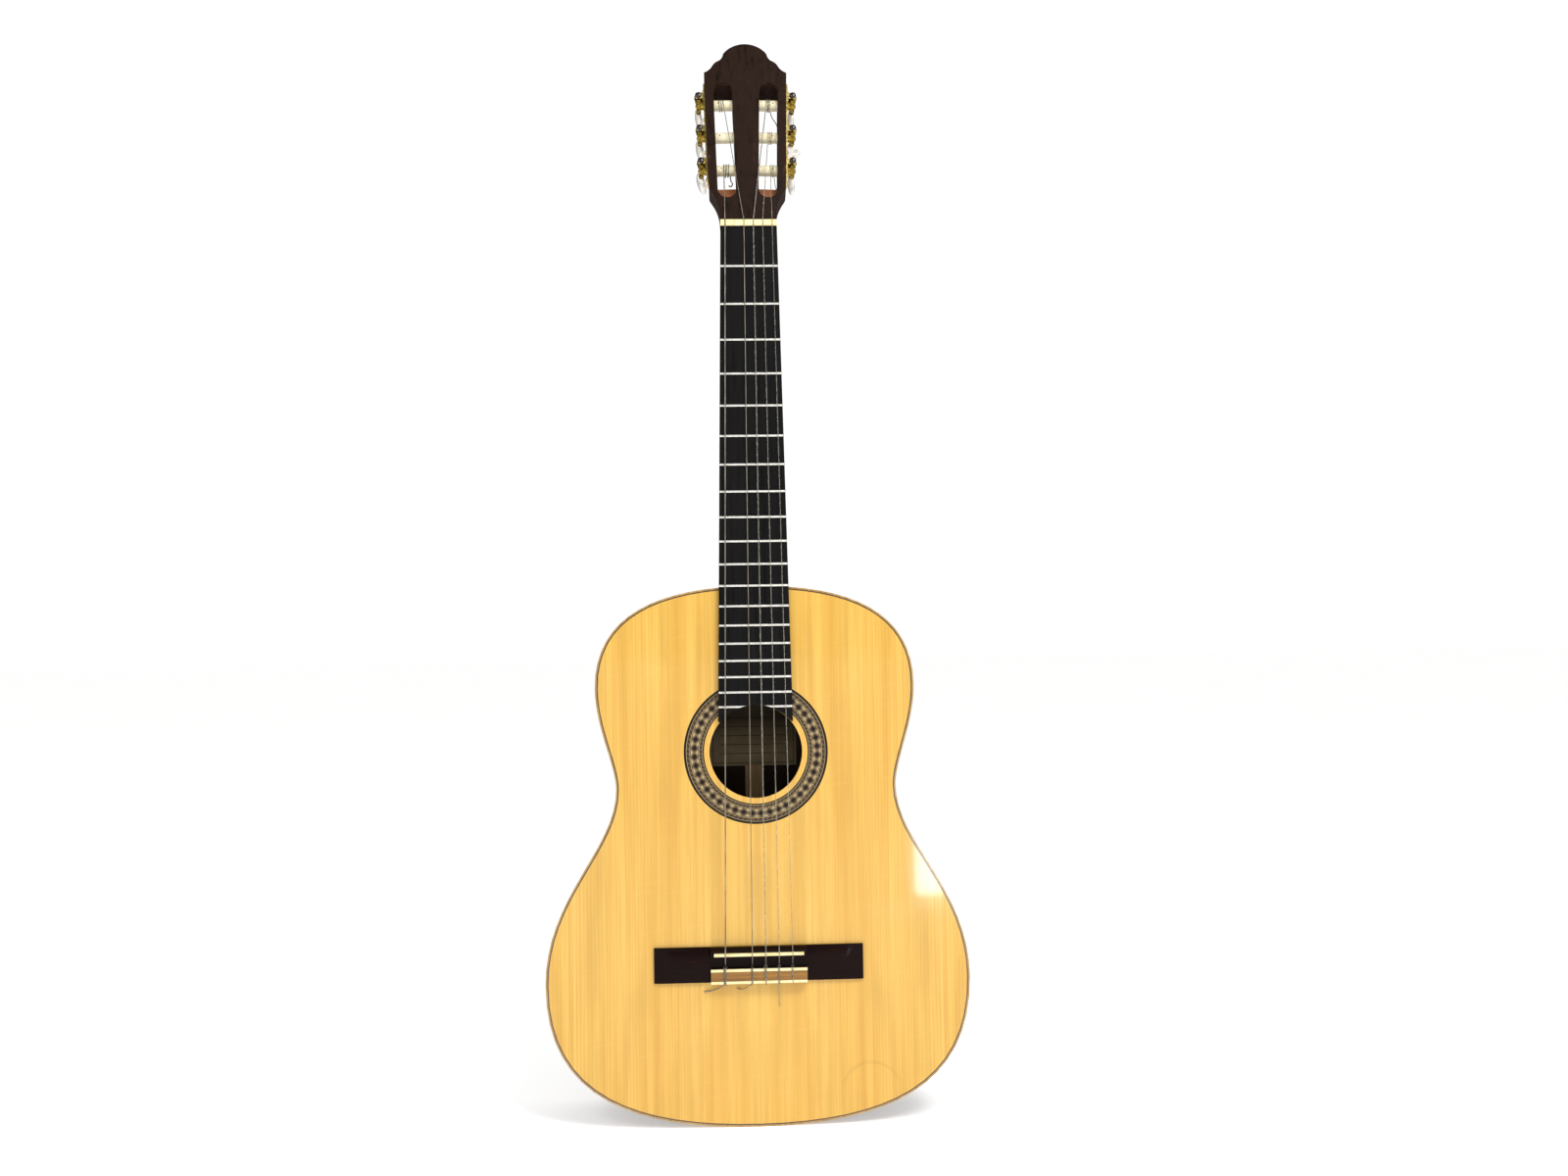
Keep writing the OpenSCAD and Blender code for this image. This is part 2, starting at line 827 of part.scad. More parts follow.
module bridge() {
    half = tie_block_length / 2;
    bevel = 2;
    color("#2e1410") upright() difference() {
        union() {
            wings();
            translate([-half, 0, 0])
                rotate([90, 0, 90])
                    linear_extrude(tie_block_length)
                        polygon([
                            [ridge_low, 0], [bridge_high, 0],
                            [bridge_high, ridge_height - 1.5 * bevel],
                            [bridge_high - bevel, ridge_height], [ridge_low, ridge_height]
                        ]);
            block(half, tie_low, tie_high, 0, tie_block_height - tie_strip_thickness);
            block(half, tie_low + tie_strip_width, tie_high - tie_strip_width,
                0, tie_block_height);
        }
        block(saddle_length / 2, saddle_y - saddle_thickness / 2, saddle_y + saddle_thickness / 2,
            saddle_floor, ridge_height + over);
        for (n = [1:6])
            translate([saddle_x(n), tie_low - over, tie_hole_height])
                rotate([-90, 0, 0])
                    cylinder(r = tie_hole_radius, h = tie_block_width + 2 * over);
    }
}

module tie_block_strips() {
    half = tie_block_length / 2;
    low = tie_block_height - tie_strip_thickness;
    color("#efe6cf") upright() {
        block(half, tie_low, tie_low + tie_strip_width, low, tie_block_height);
        block(half, tie_high - tie_strip_width, tie_high, low, tie_block_height);
    }
}

module saddle() {
    r = saddle_thickness / 2;
    color("#f2ecda") upright()
        translate([-saddle_length / 2, saddle_y, 0])
            rotate([90, 0, 90])
                linear_extrude(saddle_length)
                    polygon(concat(
                        [[-r, saddle_floor], [r, saddle_floor]],
                        [for (w = [0:15:180]) [r * cos(w), saddle_height - r + r * sin(w)]]
                    ));
}

// ---- Head -----------------------------------------------------------------------

// The head's own frame: Y along it from the nut, Z out of its wood face
module at_head() {
    translate([0, nut_y + nut_length, 0])
        rotate([-head_angle, 0, 0])
            children();
}

function side_x(t) = side_root + t * tan(head_splay);

// Shares of the flare's length at which its two handles end
flare_leave = 0.7;
flare_arrive = 0.85;

right_head = concat(
    cubic([half_board(nut_y), 0], [half_board(nut_y), flare_leave * flare_length],
        [side_x(flare_arrive * flare_length), flare_arrive * flare_length],
        [side_x(flare_length), flare_length], 10),
    arc([side_x(corner_length), corner_length], [crest_half_widths[0], crest_lengths[0]],
        crest_bulges[0], 5),
    arc([crest_half_widths[0], crest_lengths[0]], [crest_half_widths[1], crest_lengths[1]],
        crest_bulges[1], 5),
    arc([crest_half_widths[1], crest_lengths[1]], [crest_half_widths[2], crest_lengths[2]],
        crest_bulges[2], 5),
    arc([crest_half_widths[2], crest_lengths[2]], [crest_half_widths[3], crest_lengths[3]],
        crest_bulges[3], 8),
    [[0, crest_lengths[3]]]
);
head_outline = concat(
    right_head,
    [for (i = [len(right_head) - 2:-1:0]) [-right_head[i].x, right_head[i].y]]
);

// Plan of one slot, with round ends, in the side's splayed frame
module slot_plan() {
    r = slot_width / 2;
    polygon(concat(
        [for (w = [0:15:180]) [r * cos(w), slot_end - r + r * sin(w)]],
        [for (w = [180:15:360]) [r * cos(w), slot_start + r + r * sin(w)]]
    ));
}

// Share of the head's thickness at which the ramps end
ramp_drop = 0.6;

// Place of the slots' end wall at a level
function slot_wall(z) = slot_end
    - slot_end_lean * (head_plate_thickness - z) / (head_plate_thickness + head_thickness);

// Both slots: open through the head, with a ramp towards the nut and a leaning end wall
module slots() {
    deep = head_thickness + over;
    clear = head_plate_thickness + 2 * over;
    for (way = [-1, 1])
        translate([way * slot_root, 0, 0])
            rotate([0, 0, -way * head_splay])
                intersection() {
                    translate([0, 0, -deep])
                        linear_extrude(deep + head_plate_thickness + over)
                            slot_plan();
                    translate([-slot_width, 0, 0])
                        rotate([90, 0, 90])
                            linear_extrude(2 * slot_width)
                                polygon([
                                    [slot_start - over, clear],
                                    [slot_start - over, -ramp_step],
                                    [slot_start + ramp_length, -ramp_drop * head_thickness],
                                    [slot_start + ramp_length, -deep - over],
                                    [slot_wall(-deep - over), -deep - over],
                                    [slot_wall(clear), clear]
                                ]);
                }
}

// Level of the roller and gear axes, and of the worms' middle
roller_z = head_plate_thickness - roller_depth;
function roller_t(k) = first_roller + k * roller_spacing;

// Each tuner's side, 1 at the right, and its place from the nut, 0 to 2
function tuner_side(n) = n <= 3 ? 1 : -1;
function tuner_place(n) = n <= 3 ? n - 1 : 6 - n;

// The frame of one side of the head: X out of the side, Y along it
module at_side(way) {
    at_head()
        mirror([way < 0 ? 1 : 0, 0, 0])
            translate([side_root, 0, 0])
                rotate([0, 0, -head_splay])
                    children();
}

// The frame of one tuner: X along its roller, outwards, Z along its worm, forwards
module at_tuner(n) {
    at_side(tuner_side(n))
        translate([0, roller_t(tuner_place(n)), roller_z])
            children();
}

module headstock() {
    color("#5d3318") upright() difference() {
        at_head()
            translate([0, 0, -head_thickness])
                linear_extrude(head_thickness)
                    polygon(head_outline);
        at_head()
            slots();
        for (n = [1:6])
            at_tuner(n)
                roller_bore();
        for (way = [-1, 1])
            at_side(way)
                screw_places()
                    translate([0, 0, -screw_length])
                        cylinder(r = screw_radius + screw_slack, h = screw_length + over, $fn = 24);
    }
}

module roller_bore() {
    translate([over, 0, 0])
        rotate([0, -90, 0])
            cylinder(r = roller_radius + running_clearance, h = roller_length + 2 * over);
}

module head_plate() {
    color("#3c1d12") upright() at_head() difference() {
        linear_extrude(head_plate_thickness)
            polygon(head_outline);
        slots();
    }
}

// ---- Tuners ---------------------------------------------------------------------

// Gear and worm: tips and roots from the pitch circles, thread widths at crest and foot
pitch_radius = gear_module * gear_teeth / 2;
tooth_tip = 0.83 * gear_module;
tooth_root = 1.04 * gear_module;
centre_distance = pitch_radius + worm_pitch_radius;
worm_root = worm_pitch_radius - 0.96;
thread_tip = worm_pitch_radius + tooth_tip;
thread_pitch = PI * gear_module;
thread_crest = 0.28 * gear_module;
thread_foot = 0.69 * gear_module;
hub_radius = shaft_radius + 0.8;
lug_gap = worm_length / 2 + 0.4;
lug_half_width = shaft_radius + 1.5;

// Screws, and how far the plates run past the last of them
screw_radius = 1.2;
screw_slack = 0.05;
screw_length = 7;
screw_head_radius = 2.3;
first_screw = first_roller - 9;
last_screw = roller_t(2) + 15;
screw_share = 0.57; // place of a middle screw between two rollers
plate_end = 5;

// Four screws along a plate, each with its axis along X
module screw_places() {
    for (t = [first_screw, roller_t(screw_share), roller_t(1 + screw_share), last_screw])
        translate([0, t, roller_z])
            rotate([0, 90, 0])
                children();
}

module lug(way) {
    low = way > 0 ? lug_gap : -lug_gap - lug_thickness;
    translate([plate_thickness, centre_distance - lug_half_width, low])
        cube([worm_offset - plate_thickness, 2 * lug_half_width, lug_thickness]);
    translate([worm_offset, centre_distance, low])
        cylinder(r = lug_half_width, h = lug_thickness);
}

module tuner_plate(way) {
    low = first_screw - plate_end;
    high = last_screw + plate_end;
    color("#c9a24a") upright() difference() {
        union() {
            at_side(way)
                translate([0, low, roller_z - plate_width / 2])
                    cube([plate_thickness, high - low, plate_width]);
            for (n = way > 0 ? [1:3] : [4:6])
                at_tuner(n) {
                    lug(1);
                    lug(-1);
                }
        }
        at_side(way)
            screw_places()
                translate([0, 0, -over])
                    cylinder(r = screw_radius + screw_slack, h = plate_thickness + 2 * over, $fn = 24);
        for (n = way > 0 ? [1:3] : [4:6])
            at_tuner(n) {
                translate([-over, 0, 0])
                    rotate([0, 90, 0])
                        cylinder(r = hub_radius + running_clearance, h = plate_thickness + 2 * over);
                translate([worm_offset, centre_distance, -worm_length])
                    cylinder(r = shaft_radius + running_clearance, h = 2 * worm_length);
            }
    }
}

module tuner_screws() {
    color("#d8b562") upright()
        for (way = [-1, 1])
            at_side(way)
                screw_places() {
                    translate([0, 0, -screw_length])
                        cylinder(r = screw_radius, h = screw_length + plate_thickness, $fn = 24);
                    translate([0, 0, plate_thickness])
                        rotate_extrude($fn = 32)
                            polygon(concat(
                                [[0, 0]],
                                [for (w = [0:18:90]) [screw_head_radius * cos(w), 1.1 * sin(w)]]
                            ));
                }
}

module roller(n) {
    color("#f1ead2") upright() at_tuner(n) difference() {
        translate([-roller_end_gap, 0, 0])
            rotate([0, -90, 0])
                cylinder(r = roller_radius, h = roller_length - roller_end_gap);
        translate([-(side_root - slot_root) + slot_width / 4, 0, -roller_radius - over])
            cylinder(r = string_hole_radius, h = 2 * roller_radius + 2 * over, $fn = 24);
    }
}

// Gear wheel with straight teeth and a tooth space facing the worm
module gear_wheel() {
    root = pitch_radius - tooth_root;
    tip = pitch_radius + tooth_tip;
    step = 360 / gear_teeth;
    rotate([0, 90, 0])
        linear_extrude(gear_width)
            polygon([
                for (i = [0:gear_teeth - 1], q = [[-0.3, root], [-0.11, tip], [0.11, tip], [0.3, root]])
                    let (w = 90 + (i + 0.5 + q[0]) * step)
                    [q[1] * cos(w), q[1] * sin(w)]
            ]);
}

module gear(n) {
    start = worm_offset - gear_width / 2;
    color("#b08a3a") upright() at_tuner(n) {
        rotate([0, 90, 0])
            cylinder(r = hub_radius, h = start + 0.5);
        translate([plate_thickness + 0.1, 0, 0])
            rotate([0, 90, 0])
                cylinder(r = hub_radius + 1.1, h = start - plate_thickness + 0.4);
        translate([start, 0, 0])
            gear_wheel();
        translate([start + gear_width, 0, 0])
            rotate([0, 90, 0])
                rotate_extrude($fn = 32)
                    polygon(concat(
                        [[0, -0.5], [hub_radius, -0.5]],
                        [for (w = [0:18:90]) [hub_radius * cos(w), 1.4 * sin(w)]]
                    ));
    }
}

// Helical thread that passes a crest on the gear's side at the middle of its length
module thread() {
    turn_steps = 20;
    turns = worm_length / thread_pitch - 0.45;
    count = round(turns * turn_steps);
    foot = worm_root - 0.25;
    skin([
        for (i = [0:count])
            let (
                w = (i - count / 2) * 360 / turn_steps,
                z = (i - count / 2) * thread_pitch / turn_steps,
                ramp = min(1, min(i, count - i) / 5),
                tip = worm_root - 0.1 + (thread_tip - worm_root + 0.1) * max(0.15, ramp)
            )
            [for (q = [[foot, -thread_foot], [tip, -thread_crest], [tip, thread_crest],
                    [foot, thread_foot]])
                [q[0] * sin(-w), -q[0] * cos(-w), z + q[1]]]
    ]);
}

module worm(n) {
    front = lug_gap + lug_thickness;
    shaft_end = roller_depth - button_start - shaft_in_button;
    color("#7d6a35") upright() at_tuner(n) translate([worm_offset, centre_distance, 0]) {
        thread();
        translate([0, 0, -lug_gap + 0.1])
            cylinder(r = worm_root, h = 2 * lug_gap - 0.2);
        translate([0, 0, shaft_end])
            cylinder(r = shaft_radius, h = front + 0.5 - shaft_end);
        translate([0, 0, front + 0.1])
            rotate_extrude()
                polygon(concat(
                    [[0, 0], [worm_cap_radius, 0]],
                    [for (w = [0:15:90]) [worm_cap_radius * cos(w), 0.4 + 1.6 * sin(w)]]
                ));
        translate([0, 0, -front - 1.3])
            cylinder(r = worm_root, h = 1.2);
        translate([0, 0, roller_depth - button_start])
            cylinder(r = shaft_radius + 0.7, h = 2.2);
    }
}

// Section of a button at a share of its length, as a rounded flat oval
function button_ring(u) =
    let (
        swell = pow(max(0.001, 1 - pow(abs(2 * u - 1.06) / 1.06, 2.6)), 0.5),
        wide = button_width / 2 * max(0.34, swell),
        thick = button_thickness / 2 * max(0.6, pow(swell, 0.6)),
        end = u > 0.97 ? 0.72 : (u < 0.02 ? 0.8 : 1)
    )
    [for (w = [0:18:342])
        [thick * end * sign(cos(w)) * pow(abs(cos(w)), 0.8),
            wide * end * sign(sin(w)) * pow(abs(sin(w)), 0.9),
            -u * button_length]];

module button(n) {
    steps = 12;
    hole = shaft_in_button + running_clearance;
    color("#f4efe2") upright() at_tuner(n)
        translate([worm_offset, centre_distance, roller_depth - button_start])
            rotate([0, 0, button_turns[n - 1]])
                difference() {
                    skin([for (i = [steps:-1:0]) button_ring(0.5 - 0.5 * cos(180 * i / steps))]);
                    translate([0, 0, -hole])
                        cylinder(r = shaft_radius + button_slack, h = hole + over);
                }
}

// ---- Strings --------------------------------------------------------------------

// Where each string meets its roller, as a place on the roller's visible width
roller_shares = [0.62, 0.5, 0.4, 0.5, 0.5, 0.62];

// A point of the head's frame in the body's frame
function from_head(p) = [
    p.x,
    nut_y + nut_length + p.y * cos(head_angle) + p.z * sin(head_angle),
    p.z * cos(head_angle) - p.y * sin(head_angle)
];

// Last point of a string, where it runs onto the front of its roller
function roller_point(n) =
    let (
        r = string_radius(n),
        t = roller_t(tuner_place(n)),
        reach = roller_radius + r + string_gap,
        fall = atan((nut_string_height - roller_z - reach) / t),
        across = slot_root - slot_width / 2 + slot_width * roller_shares[n - 1]
    )
    from_head([
        tuner_side(n) * (across + t * tan(head_splay)),
        t + reach * sin(fall),
        roller_z + reach * cos(fall)
    ]);

// A string's route, from its tied end over the saddle and the nut to its roller
function string_path(n) =
    let (
        r = string_radius(n),
        x = saddle_x(n),
        top = tie_block_height + r + string_rest,
        behind = tie_low - r - 0.1
    )
    [
        [x, tie_high - tie_strip_width / 2, top],
        [x, behind + 0.6, top],
        [x, behind, top - 0.6],
        [x, behind, tie_hole_height + 0.5],
        [x, behind + 0.5, tie_hole_height],
        [x, tie_high + 0.3, tie_hole_height],
        [x, saddle_y - 0.9, saddle_height + r - 0.35],
        [x, saddle_y, saddle_height + r + string_rest],
        [nut_x(n), nut_y, nut_string_height + r],
        [nut_x(n), nut_y + nut_length - 0.6, nut_string_height + r],
        roller_point(n)
    ];

function unit(v) = v / norm(v);

// Rings of a tube mitred at every point of its path
function tube_rings(path, first, i) =
    i == len(path) ? [] :
    let (
        into = unit(path[i] - path[max(0, i - 1)] + (i == 0 ? path[1] - path[0] : [0, 0, 0])),
        out = i == len(path) - 1 ? into : unit(path[i + 1] - path[i]),
        face = unit(into + out),
        ring = [for (p = first) p + into * ((path[i] - p) * face) / (into * face)]
    )
    concat([ring], tube_rings(path, ring, i + 1));

module string(n) {
    path = string_path(n);
    r = string_radius(n);
    start = [for (w = [0:45:315])
        path[0] + r * [cos(w + 22.5), 0, sin(w + 22.5)]];
    color(n > 3 ? "#9a8c74" : "#d8d2c4") upright()
        skin(tube_rings(path, start, 0));
}

// ---- Nodes ----------------------------------------------------------------------

soundboard();
back_panels();
back_inlay();
back_centre_strip();
side(-1);  // side_left
side(1);  // side_right
end_graft();
tail_block();
top_linings();
back_linings();
top_binding();
top_purfling();
back_binding();
harmonic_bars();
fan_braces();
back_braces();
neck();
heel_cap();
headstock();
head_plate();
fingerboard();
frets();
nut();
rosette();
label();
bridge();
saddle();
tie_block_strips();
string(1);  // string_1
string(2);  // string_2
string(3);  // string_3
string(4);  // string_4
string(6);  // string_6
tuner_plate(-1);  // tuner_plate_left
tuner_plate(1);  // tuner_plate_right
tuner_screws();
roller(1);  // roller_1
roller(2);  // roller_2
roller(3);  // roller_3
roller(4);  // roller_4
roller(5);  // roller_5
roller(6);  // roller_6
gear(1);  // gear_1
gear(2);  // gear_2
gear(3);  // gear_3
gear(4);  // gear_4
gear(5);  // gear_5
gear(6);  // gear_6
worm(1);  // worm_1
worm(2);  // worm_2
worm(3);  // worm_3
worm(4);  // worm_4
worm(5);  // worm_5
worm(6);  // worm_6
button(1);  // button_1
button(2);  // button_2
button(3);  // button_3
button(4);  // button_4
button(5);  // button_5
button(6);  // button_6
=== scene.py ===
"""Looks of the classical guitar: finishes, mosaic, windings, knots, stage, light and camera."""
import json
import math

import bpy
from mathutils import Matrix, Vector


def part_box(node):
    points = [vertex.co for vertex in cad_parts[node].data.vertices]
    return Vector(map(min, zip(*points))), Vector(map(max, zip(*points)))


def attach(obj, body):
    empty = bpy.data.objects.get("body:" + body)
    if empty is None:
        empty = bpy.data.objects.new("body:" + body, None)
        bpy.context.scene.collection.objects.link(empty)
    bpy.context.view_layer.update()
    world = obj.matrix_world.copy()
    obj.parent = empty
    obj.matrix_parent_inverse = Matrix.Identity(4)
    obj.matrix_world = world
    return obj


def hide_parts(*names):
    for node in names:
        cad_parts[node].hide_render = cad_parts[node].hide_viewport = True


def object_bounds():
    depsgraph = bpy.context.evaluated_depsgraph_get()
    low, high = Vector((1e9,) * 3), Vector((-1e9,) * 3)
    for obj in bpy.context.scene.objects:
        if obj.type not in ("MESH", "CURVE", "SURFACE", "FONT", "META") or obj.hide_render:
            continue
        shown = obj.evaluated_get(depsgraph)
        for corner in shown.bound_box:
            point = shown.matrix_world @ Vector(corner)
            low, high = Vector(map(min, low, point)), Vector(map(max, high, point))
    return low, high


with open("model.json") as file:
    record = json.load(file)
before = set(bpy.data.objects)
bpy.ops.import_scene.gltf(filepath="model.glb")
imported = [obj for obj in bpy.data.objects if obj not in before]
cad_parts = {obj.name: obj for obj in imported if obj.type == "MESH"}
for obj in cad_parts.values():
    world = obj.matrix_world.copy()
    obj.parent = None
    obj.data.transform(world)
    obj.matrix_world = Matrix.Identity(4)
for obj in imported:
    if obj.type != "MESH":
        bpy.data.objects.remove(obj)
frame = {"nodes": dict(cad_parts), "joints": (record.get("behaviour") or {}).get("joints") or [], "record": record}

MM = 0.001
cad_low, cad_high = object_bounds()
nodes = frame["nodes"]
joints = {joint["name"]: joint for joint in frame["joints"]}

# ---- Sizes read from the frame --------------------------------------------------

hole_low, hole_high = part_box("rosette")
rosette_centre = Vector((0, hole_low.y, (hole_low.z + hole_high.z) / 2))
label_low, label_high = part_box("label")
strip_low, strip_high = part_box("tie_block_strips")
body_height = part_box("soundboard")[1].z
# Directions out of the front of the leaning head and up along it
HEAD_FRONT = Vector(joints["knob_1_turn"]["axis"])
HEAD_UP = Vector((0, HEAD_FRONT.z, -HEAD_FRONT.y))
floor_level = cad_low.z


# ---- Node trees -----------------------------------------------------------------

def colour(code):
    """A linear colour from its six-digit sRGB code."""
    parts = [int(code[i:i + 2], 16) / 255 for i in (0, 2, 4)]
    return tuple(p / 12.92 if p <= 0.04045 else ((p + 0.055) / 1.055) ** 2.4 for p in parts) + (1.0,)


class Recipe:
    """A material made of nodes. Its methods take sockets or plain values and return a socket."""

    def __init__(self, name, **shader):
        self.material = bpy.data.materials.new(name)
        self.material.use_nodes = True
        self.tree = self.material.node_tree
        self.shader = self.tree.nodes["Principled BSDF"]
        self.place = self.add("ShaderNodeTexCoord").outputs["Object"]
        for key, value in shader.items():
            self.shader.inputs[key.replace("_", " ").title().replace("Ior", "IOR")].default_value = value

    def add(self, kind, feeds=(), **settings):
        node = self.tree.nodes.new(kind)
        for key, value in settings.items():
            setattr(node, key, value)
        for key, value in dict(feeds).items():
            self.feed(node.inputs[key], value)
        return node

    def feed(self, socket, value):
        if isinstance(value, bpy.types.NodeSocket):
            self.tree.links.new(value, socket)
        else:
            socket.default_value = value

    def math(self, operation, a, b=0.0, c=0.0):
        node = self.add("ShaderNodeMath", {0: a, 1: b, 2: c}, operation=operation)
        return node.outputs[0]

    def axes(self, place=None):
        return self.add("ShaderNodeSeparateXYZ", {0: place or self.place}).outputs

    def point(self, x, y, z):
        return self.add("ShaderNodeCombineXYZ", {0: x, 1: y, 2: z}).outputs[0]

    def scaled(self, sizes, turn=(0, 0, 0), place=None):
        """Coordinates divided by the given grain sizes along X, Y and Z, in metres."""
        scale = tuple(1 / s for s in sizes)
        turned = self.add("ShaderNodeMapping", {"Vector": place or self.place, "Rotation": turn})
        stretched = self.add("ShaderNodeMapping", {"Vector": turned.outputs[0], "Scale": scale})
        return stretched.outputs[0]

    def noise(self, place, detail=3.0, roughness=0.5, distortion=0.0, scale=1.0):
        feeds = {"Vector": place, "Scale": scale, "Detail": detail,
                 "Roughness": roughness, "Distortion": distortion}
        return self.add("ShaderNodeTexNoise", feeds).outputs["Fac"]

    def cells(self, place, output="Distance", scale=1.0, randomness=1.0):
        feeds = {"Vector": place, "Scale": scale, "Randomness": randomness}
        return self.add("ShaderNodeTexVoronoi", feeds).outputs[output]

    def ramp(self, factor, *stops):
        """A colour ramp of (place, colour code) stops."""
        node = self.add("ShaderNodeValToRGB", {0: factor})
        points = node.color_ramp.elements
        while len(points) < len(stops):
            points.new(0.5)
        for point, (place, code) in zip(points, stops):
            point.position = place
            point.color = colour(code)
        return node.outputs[0]

    def between(self, value, low, high, start=0.0, end=1.0):
        """Maps low..high onto start..end, clamped."""
        feeds = {"Value": value, "From Min": low, "From Max": high, "To Min": start, "To Max": end}
        return self.add("ShaderNodeMapRange", feeds).outputs[0]

    def mix(self, factor, a, b, blend="MIX"):
        node = self.add("ShaderNodeMix", {0: factor, 6: a, 7: b}, data_type="RGBA", blend_type=blend)
        return node.outputs[2]

    def bump(self, height, distance, strength=1.0):
        node = self.add("ShaderNodeBump", {"Height": height, "Distance": distance, "Strength": strength})
        self.feed(self.shader.inputs["Normal"], node.outputs[0])

    def finish(self, base, roughness=None):
        self.feed(self.shader.inputs["Base Color"], base)
        if roughness is not None:
            self.feed(self.shader.inputs["Roughness"], roughness)
        return self.material


# ---- Woods ----------------------------------------------------------------------

# Middle (X and Z) and radius of the curved rub mark on the soundboard, in metres
RUB_MARK = (0.099, 0.028)
RUB_RADIUS = 0.026


def spruce_top():
    """Book-matched amber spruce under gloss lacquer, grain along Z."""
    r = Recipe("spruce_top", coat_weight=0.7, coat_roughness=0.06, specular_ior_level=0.15)
    x, y, z = r.axes()
    half = r.math("ABSOLUTE", x)
    mirrored = r.point(half, y, z)
    sway = r.noise(r.scaled((0.05, 0.05, 0.4), place=mirrored), detail=2.0)
    wide = r.noise(r.scaled((0.02, 0.02, 0.5), place=mirrored), detail=3.0, roughness=0.6)
    streak = r.noise(r.scaled((0.0035, 0.0035, 0.22), place=mirrored), detail=4.0, roughness=0.65)
    # The rings widen from the joint towards the edges
    widened = r.math("POWER", r.math("ADD", half, 0.004), 0.72)
    ring_place = r.math("ADD", widened, r.math("MULTIPLY", sway, 0.012))
    ring = r.math("FRACT", r.math("MULTIPLY", ring_place, 260.0))
    late = r.between(ring, 0.62, 0.97)
    ring_line = r.math("MULTIPLY", late, r.between(half, 0.0, 0.19, 0.35, 0.75))
    flecks = r.noise(r.scaled((0.03, 0.03, 0.0035), turn=(0, 0.18, 0)), detail=2.0)
    base = r.ramp(wide, (0.3, "d3a146"), (0.45, "ddaf50"), (0.58, "e6ba5b"), (0.72, "e5bd65"))
    base = r.mix(r.between(streak, 0.42, 0.68, 0.0, 0.55), base, colour("cf9740"))
    # Khaki clouds, closer and darker along the grain
    cloud = r.noise(r.scaled((0.022, 0.022, 0.13), place=mirrored), detail=3.0, roughness=0.55)
    base = r.mix(r.between(cloud, 0.5, 0.72, 0.0, 0.5), base, colour("c79f4b"))
    base = r.mix(r.math("MULTIPLY", ring_line, 0.5), base, colour("c38735"))
    # A curved rub mark low on the right
    across = r.math("SUBTRACT", x, RUB_MARK[0])
    upward = r.math("SUBTRACT", z, RUB_MARK[1])
    squares = r.math("ADD", r.math("MULTIPLY", across, across), r.math("MULTIPLY", upward, upward))
    off_ring = r.math("ABSOLUTE", r.math("SUBTRACT", r.math("POWER", squares, 0.5), RUB_RADIUS))
    rubbed = r.math("MULTIPLY", r.between(off_ring, 0.0, 0.0025, 0.22, 0.0), r.between(upward, 0.004, 0.014))
    base = r.mix(rubbed, base, colour("a9823c"))
    base = r.mix(r.between(flecks, 0.58, 0.78, 0.0, 0.08), base, colour("f6c879"))
    grain = r.math("ADD", r.math("MULTIPLY", late, 0.6), streak)
    r.bump(grain, 0.00004, 0.35)
    return r.finish(base, r.between(streak, 0.3, 0.7, 0.3, 0.42))


def dark_wood(name, along, across, dark, mid, light, gloss, pore=0.35, streaks=(0.45, 0.62)):
    """Rosewood or ebony: streaks and open pores of the given grain sizes."""
    r = Recipe(name, coat_weight=gloss, coat_roughness=0.12, specular_ior_level=0.07)
    flow = r.noise(r.scaled([s * 6 for s in across]), detail=2.0)
    drift = r.math("MULTIPLY", flow, along)
    bend = r.add("ShaderNodeVectorMath", {0: r.place, 1: r.point(drift, drift, drift)})
    band = r.noise(r.scaled(across, place=bend.outputs[0]), detail=6.0, roughness=0.62)
    fine = r.noise(r.scaled([s * 0.22 for s in across]), detail=3.0, roughness=0.7)
    base = r.ramp(band, (0.3, dark), (streaks[0], mid), (streaks[1], mid), (0.75, light))
    base = r.mix(r.between(fine, 0.5, 0.72, 0.0, 0.55), base, colour(dark))
    pores = r.between(fine, 0.58, 0.7, 0.0, 1.0)
    r.bump(r.math("MULTIPLY", pores, -1.0), 0.00008, pore)
    return r.finish(base, r.between(band, 0.3, 0.7, 0.32, 0.5))


def plain_wood(name, sizes, dark, light, roughness=0.45, gloss=0.0, shine=0.5):
    """Mahogany, cedar or maple: fine grain of the given sizes with short pores."""
    r = Recipe(name, coat_weight=gloss, coat_roughness=0.15, specular_ior_level=shine)
    grain = r.noise(r.scaled(sizes), detail=5.0, roughness=0.6)
    cloud = r.noise(r.scaled([s * 8 for s in sizes]), detail=2.0)
    pores = r.noise(r.scaled([s * 0.3 for s in sizes]), detail=2.0, roughness=0.7)
    base = r.ramp(r.math("ADD", r.math("MULTIPLY", grain, 0.7), r.math("MULTIPLY", cloud, 0.3)),
                  (0.35, dark), (0.65, light))
    base = r.mix(r.between(pores, 0.55, 0.75, 0.0, 0.35), base, colour(dark))
    r.bump(r.math("SUBTRACT", grain, r.between(pores, 0.55, 0.75)), 0.00006, 0.4)
    return r.finish(base, r.between(grain, 0.3, 0.7, roughness - 0.08, roughness + 0.1))


# ---- Metal, bone, plastic, paper ------------------------------------------------

def metal(name, dark, light, roughness, scratch=(0.004, 0.0004, 0.0004)):
    """Plated metal with a mottled tint and fine scratches."""
    r = Recipe(name, metallic=1.0)
    tint = r.noise(r.scaled((0.0025, 0.0025, 0.0025)), detail=3.0)
    lines = r.noise(r.scaled(scratch), detail=3.0, roughness=0.7)
    base = r.ramp(tint, (0.35, dark), (0.65, light))
    r.bump(lines, 0.00002, 0.3)
    return r.finish(base, r.between(lines, 0.3, 0.7, roughness - 0.08, roughness + 0.12))


